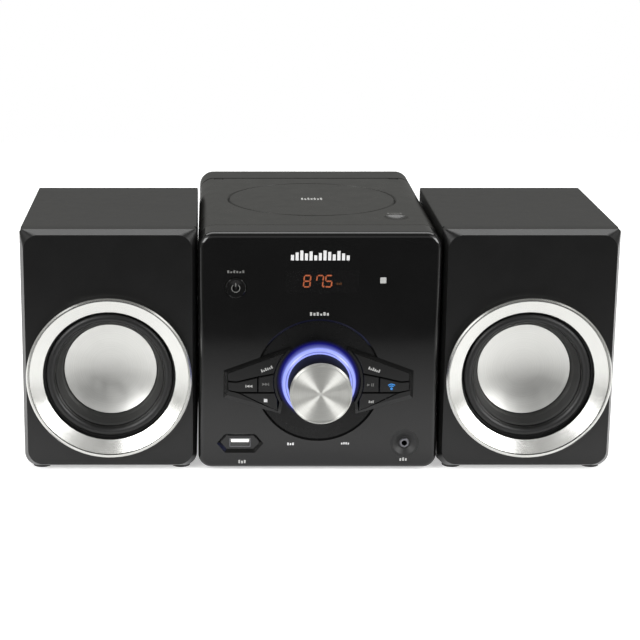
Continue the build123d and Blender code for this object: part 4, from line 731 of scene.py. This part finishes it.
def world_ramp(source, start, end):
    """Smooth step from 0 at start to 1 at end."""
    node = wires.nodes.new("ShaderNodeMapRange")
    node.interpolation_type = "SMOOTHSTEP"
    node.inputs["From Min"].default_value = start
    node.inputs["From Max"].default_value = end
    wires.links.new(source, node.inputs["Value"])
    return node.outputs["Result"]


def world_math(operation, *sources):
    node = wires.nodes.new("ShaderNodeMath")
    node.operation = operation
    for source, socket in zip(sources, node.inputs):
        wires.links.new(source, socket)
    return node.outputs["Value"]


def world_mix(factor):
    """A colour mix whose two colours are still to be set."""
    node = wires.nodes.new("ShaderNodeMix")
    node.data_type = "RGBA"
    wires.links.new(factor, node.inputs[0])
    return node


parts = wires.nodes.new("ShaderNodeSeparateXYZ")
wires.links.new(wires.nodes.new("ShaderNodeTexCoord").outputs["Generated"], parts.inputs["Vector"])
behind = world_ramp(parts.outputs["Y"], -0.35, 0.45)
above = world_ramp(parts.outputs["Z"], 0.15, 0.75)
beside = world_ramp(world_math("ABSOLUTE", parts.outputs["X"]), 0.45, 0.85)
tone = world_mix(world_math("MAXIMUM", behind, above))
tone.inputs[6].default_value = AHEAD_TONE
tone.inputs[7].default_value = BEHIND_TONE
sides = world_mix(beside)
wires.links.new(tone.outputs[2], sides.inputs[6])
sides.inputs[7].default_value = SIDE_TONE
around = wires.nodes.new("ShaderNodeBackground")
wires.links.new(sides.outputs[2], around.inputs["Color"])
seen = wires.nodes.new("ShaderNodeBackground")
seen.inputs["Color"].default_value = WHITE
both = wires.nodes.new("ShaderNodeMixShader")
wires.links.new(wires.nodes.new("ShaderNodeLightPath").outputs["Is Camera Ray"], both.inputs["Fac"])
wires.links.new(around.outputs["Background"], both.inputs[1])
wires.links.new(seen.outputs["Background"], both.inputs[2])
wires.links.new(both.outputs["Shader"], wires.nodes.new("ShaderNodeOutputWorld").inputs["Surface"])

LENS = 104.4
SENSOR_WIDTH = 36.0
SHIFT_ACROSS = 0.170
CAMERA_PITCH = 14.786
CAMERA_PLACE = (-0.0682, FRONT - 1.1315, 0.3994)

camera_data = bpy.data.cameras.new("camera")
camera_data.lens = LENS
camera_data.sensor_width = SENSOR_WIDTH
camera_data.shift_x = SHIFT_ACROSS
camera = bpy.data.objects.new("camera", camera_data)
camera.location = CAMERA_PLACE
camera.rotation_euler = (math.radians(90.0 - CAMERA_PITCH), 0.0, 0.0)
scene.collection.objects.link(camera)
scene.camera = camera
scene.view_settings.view_transform = "Standard"
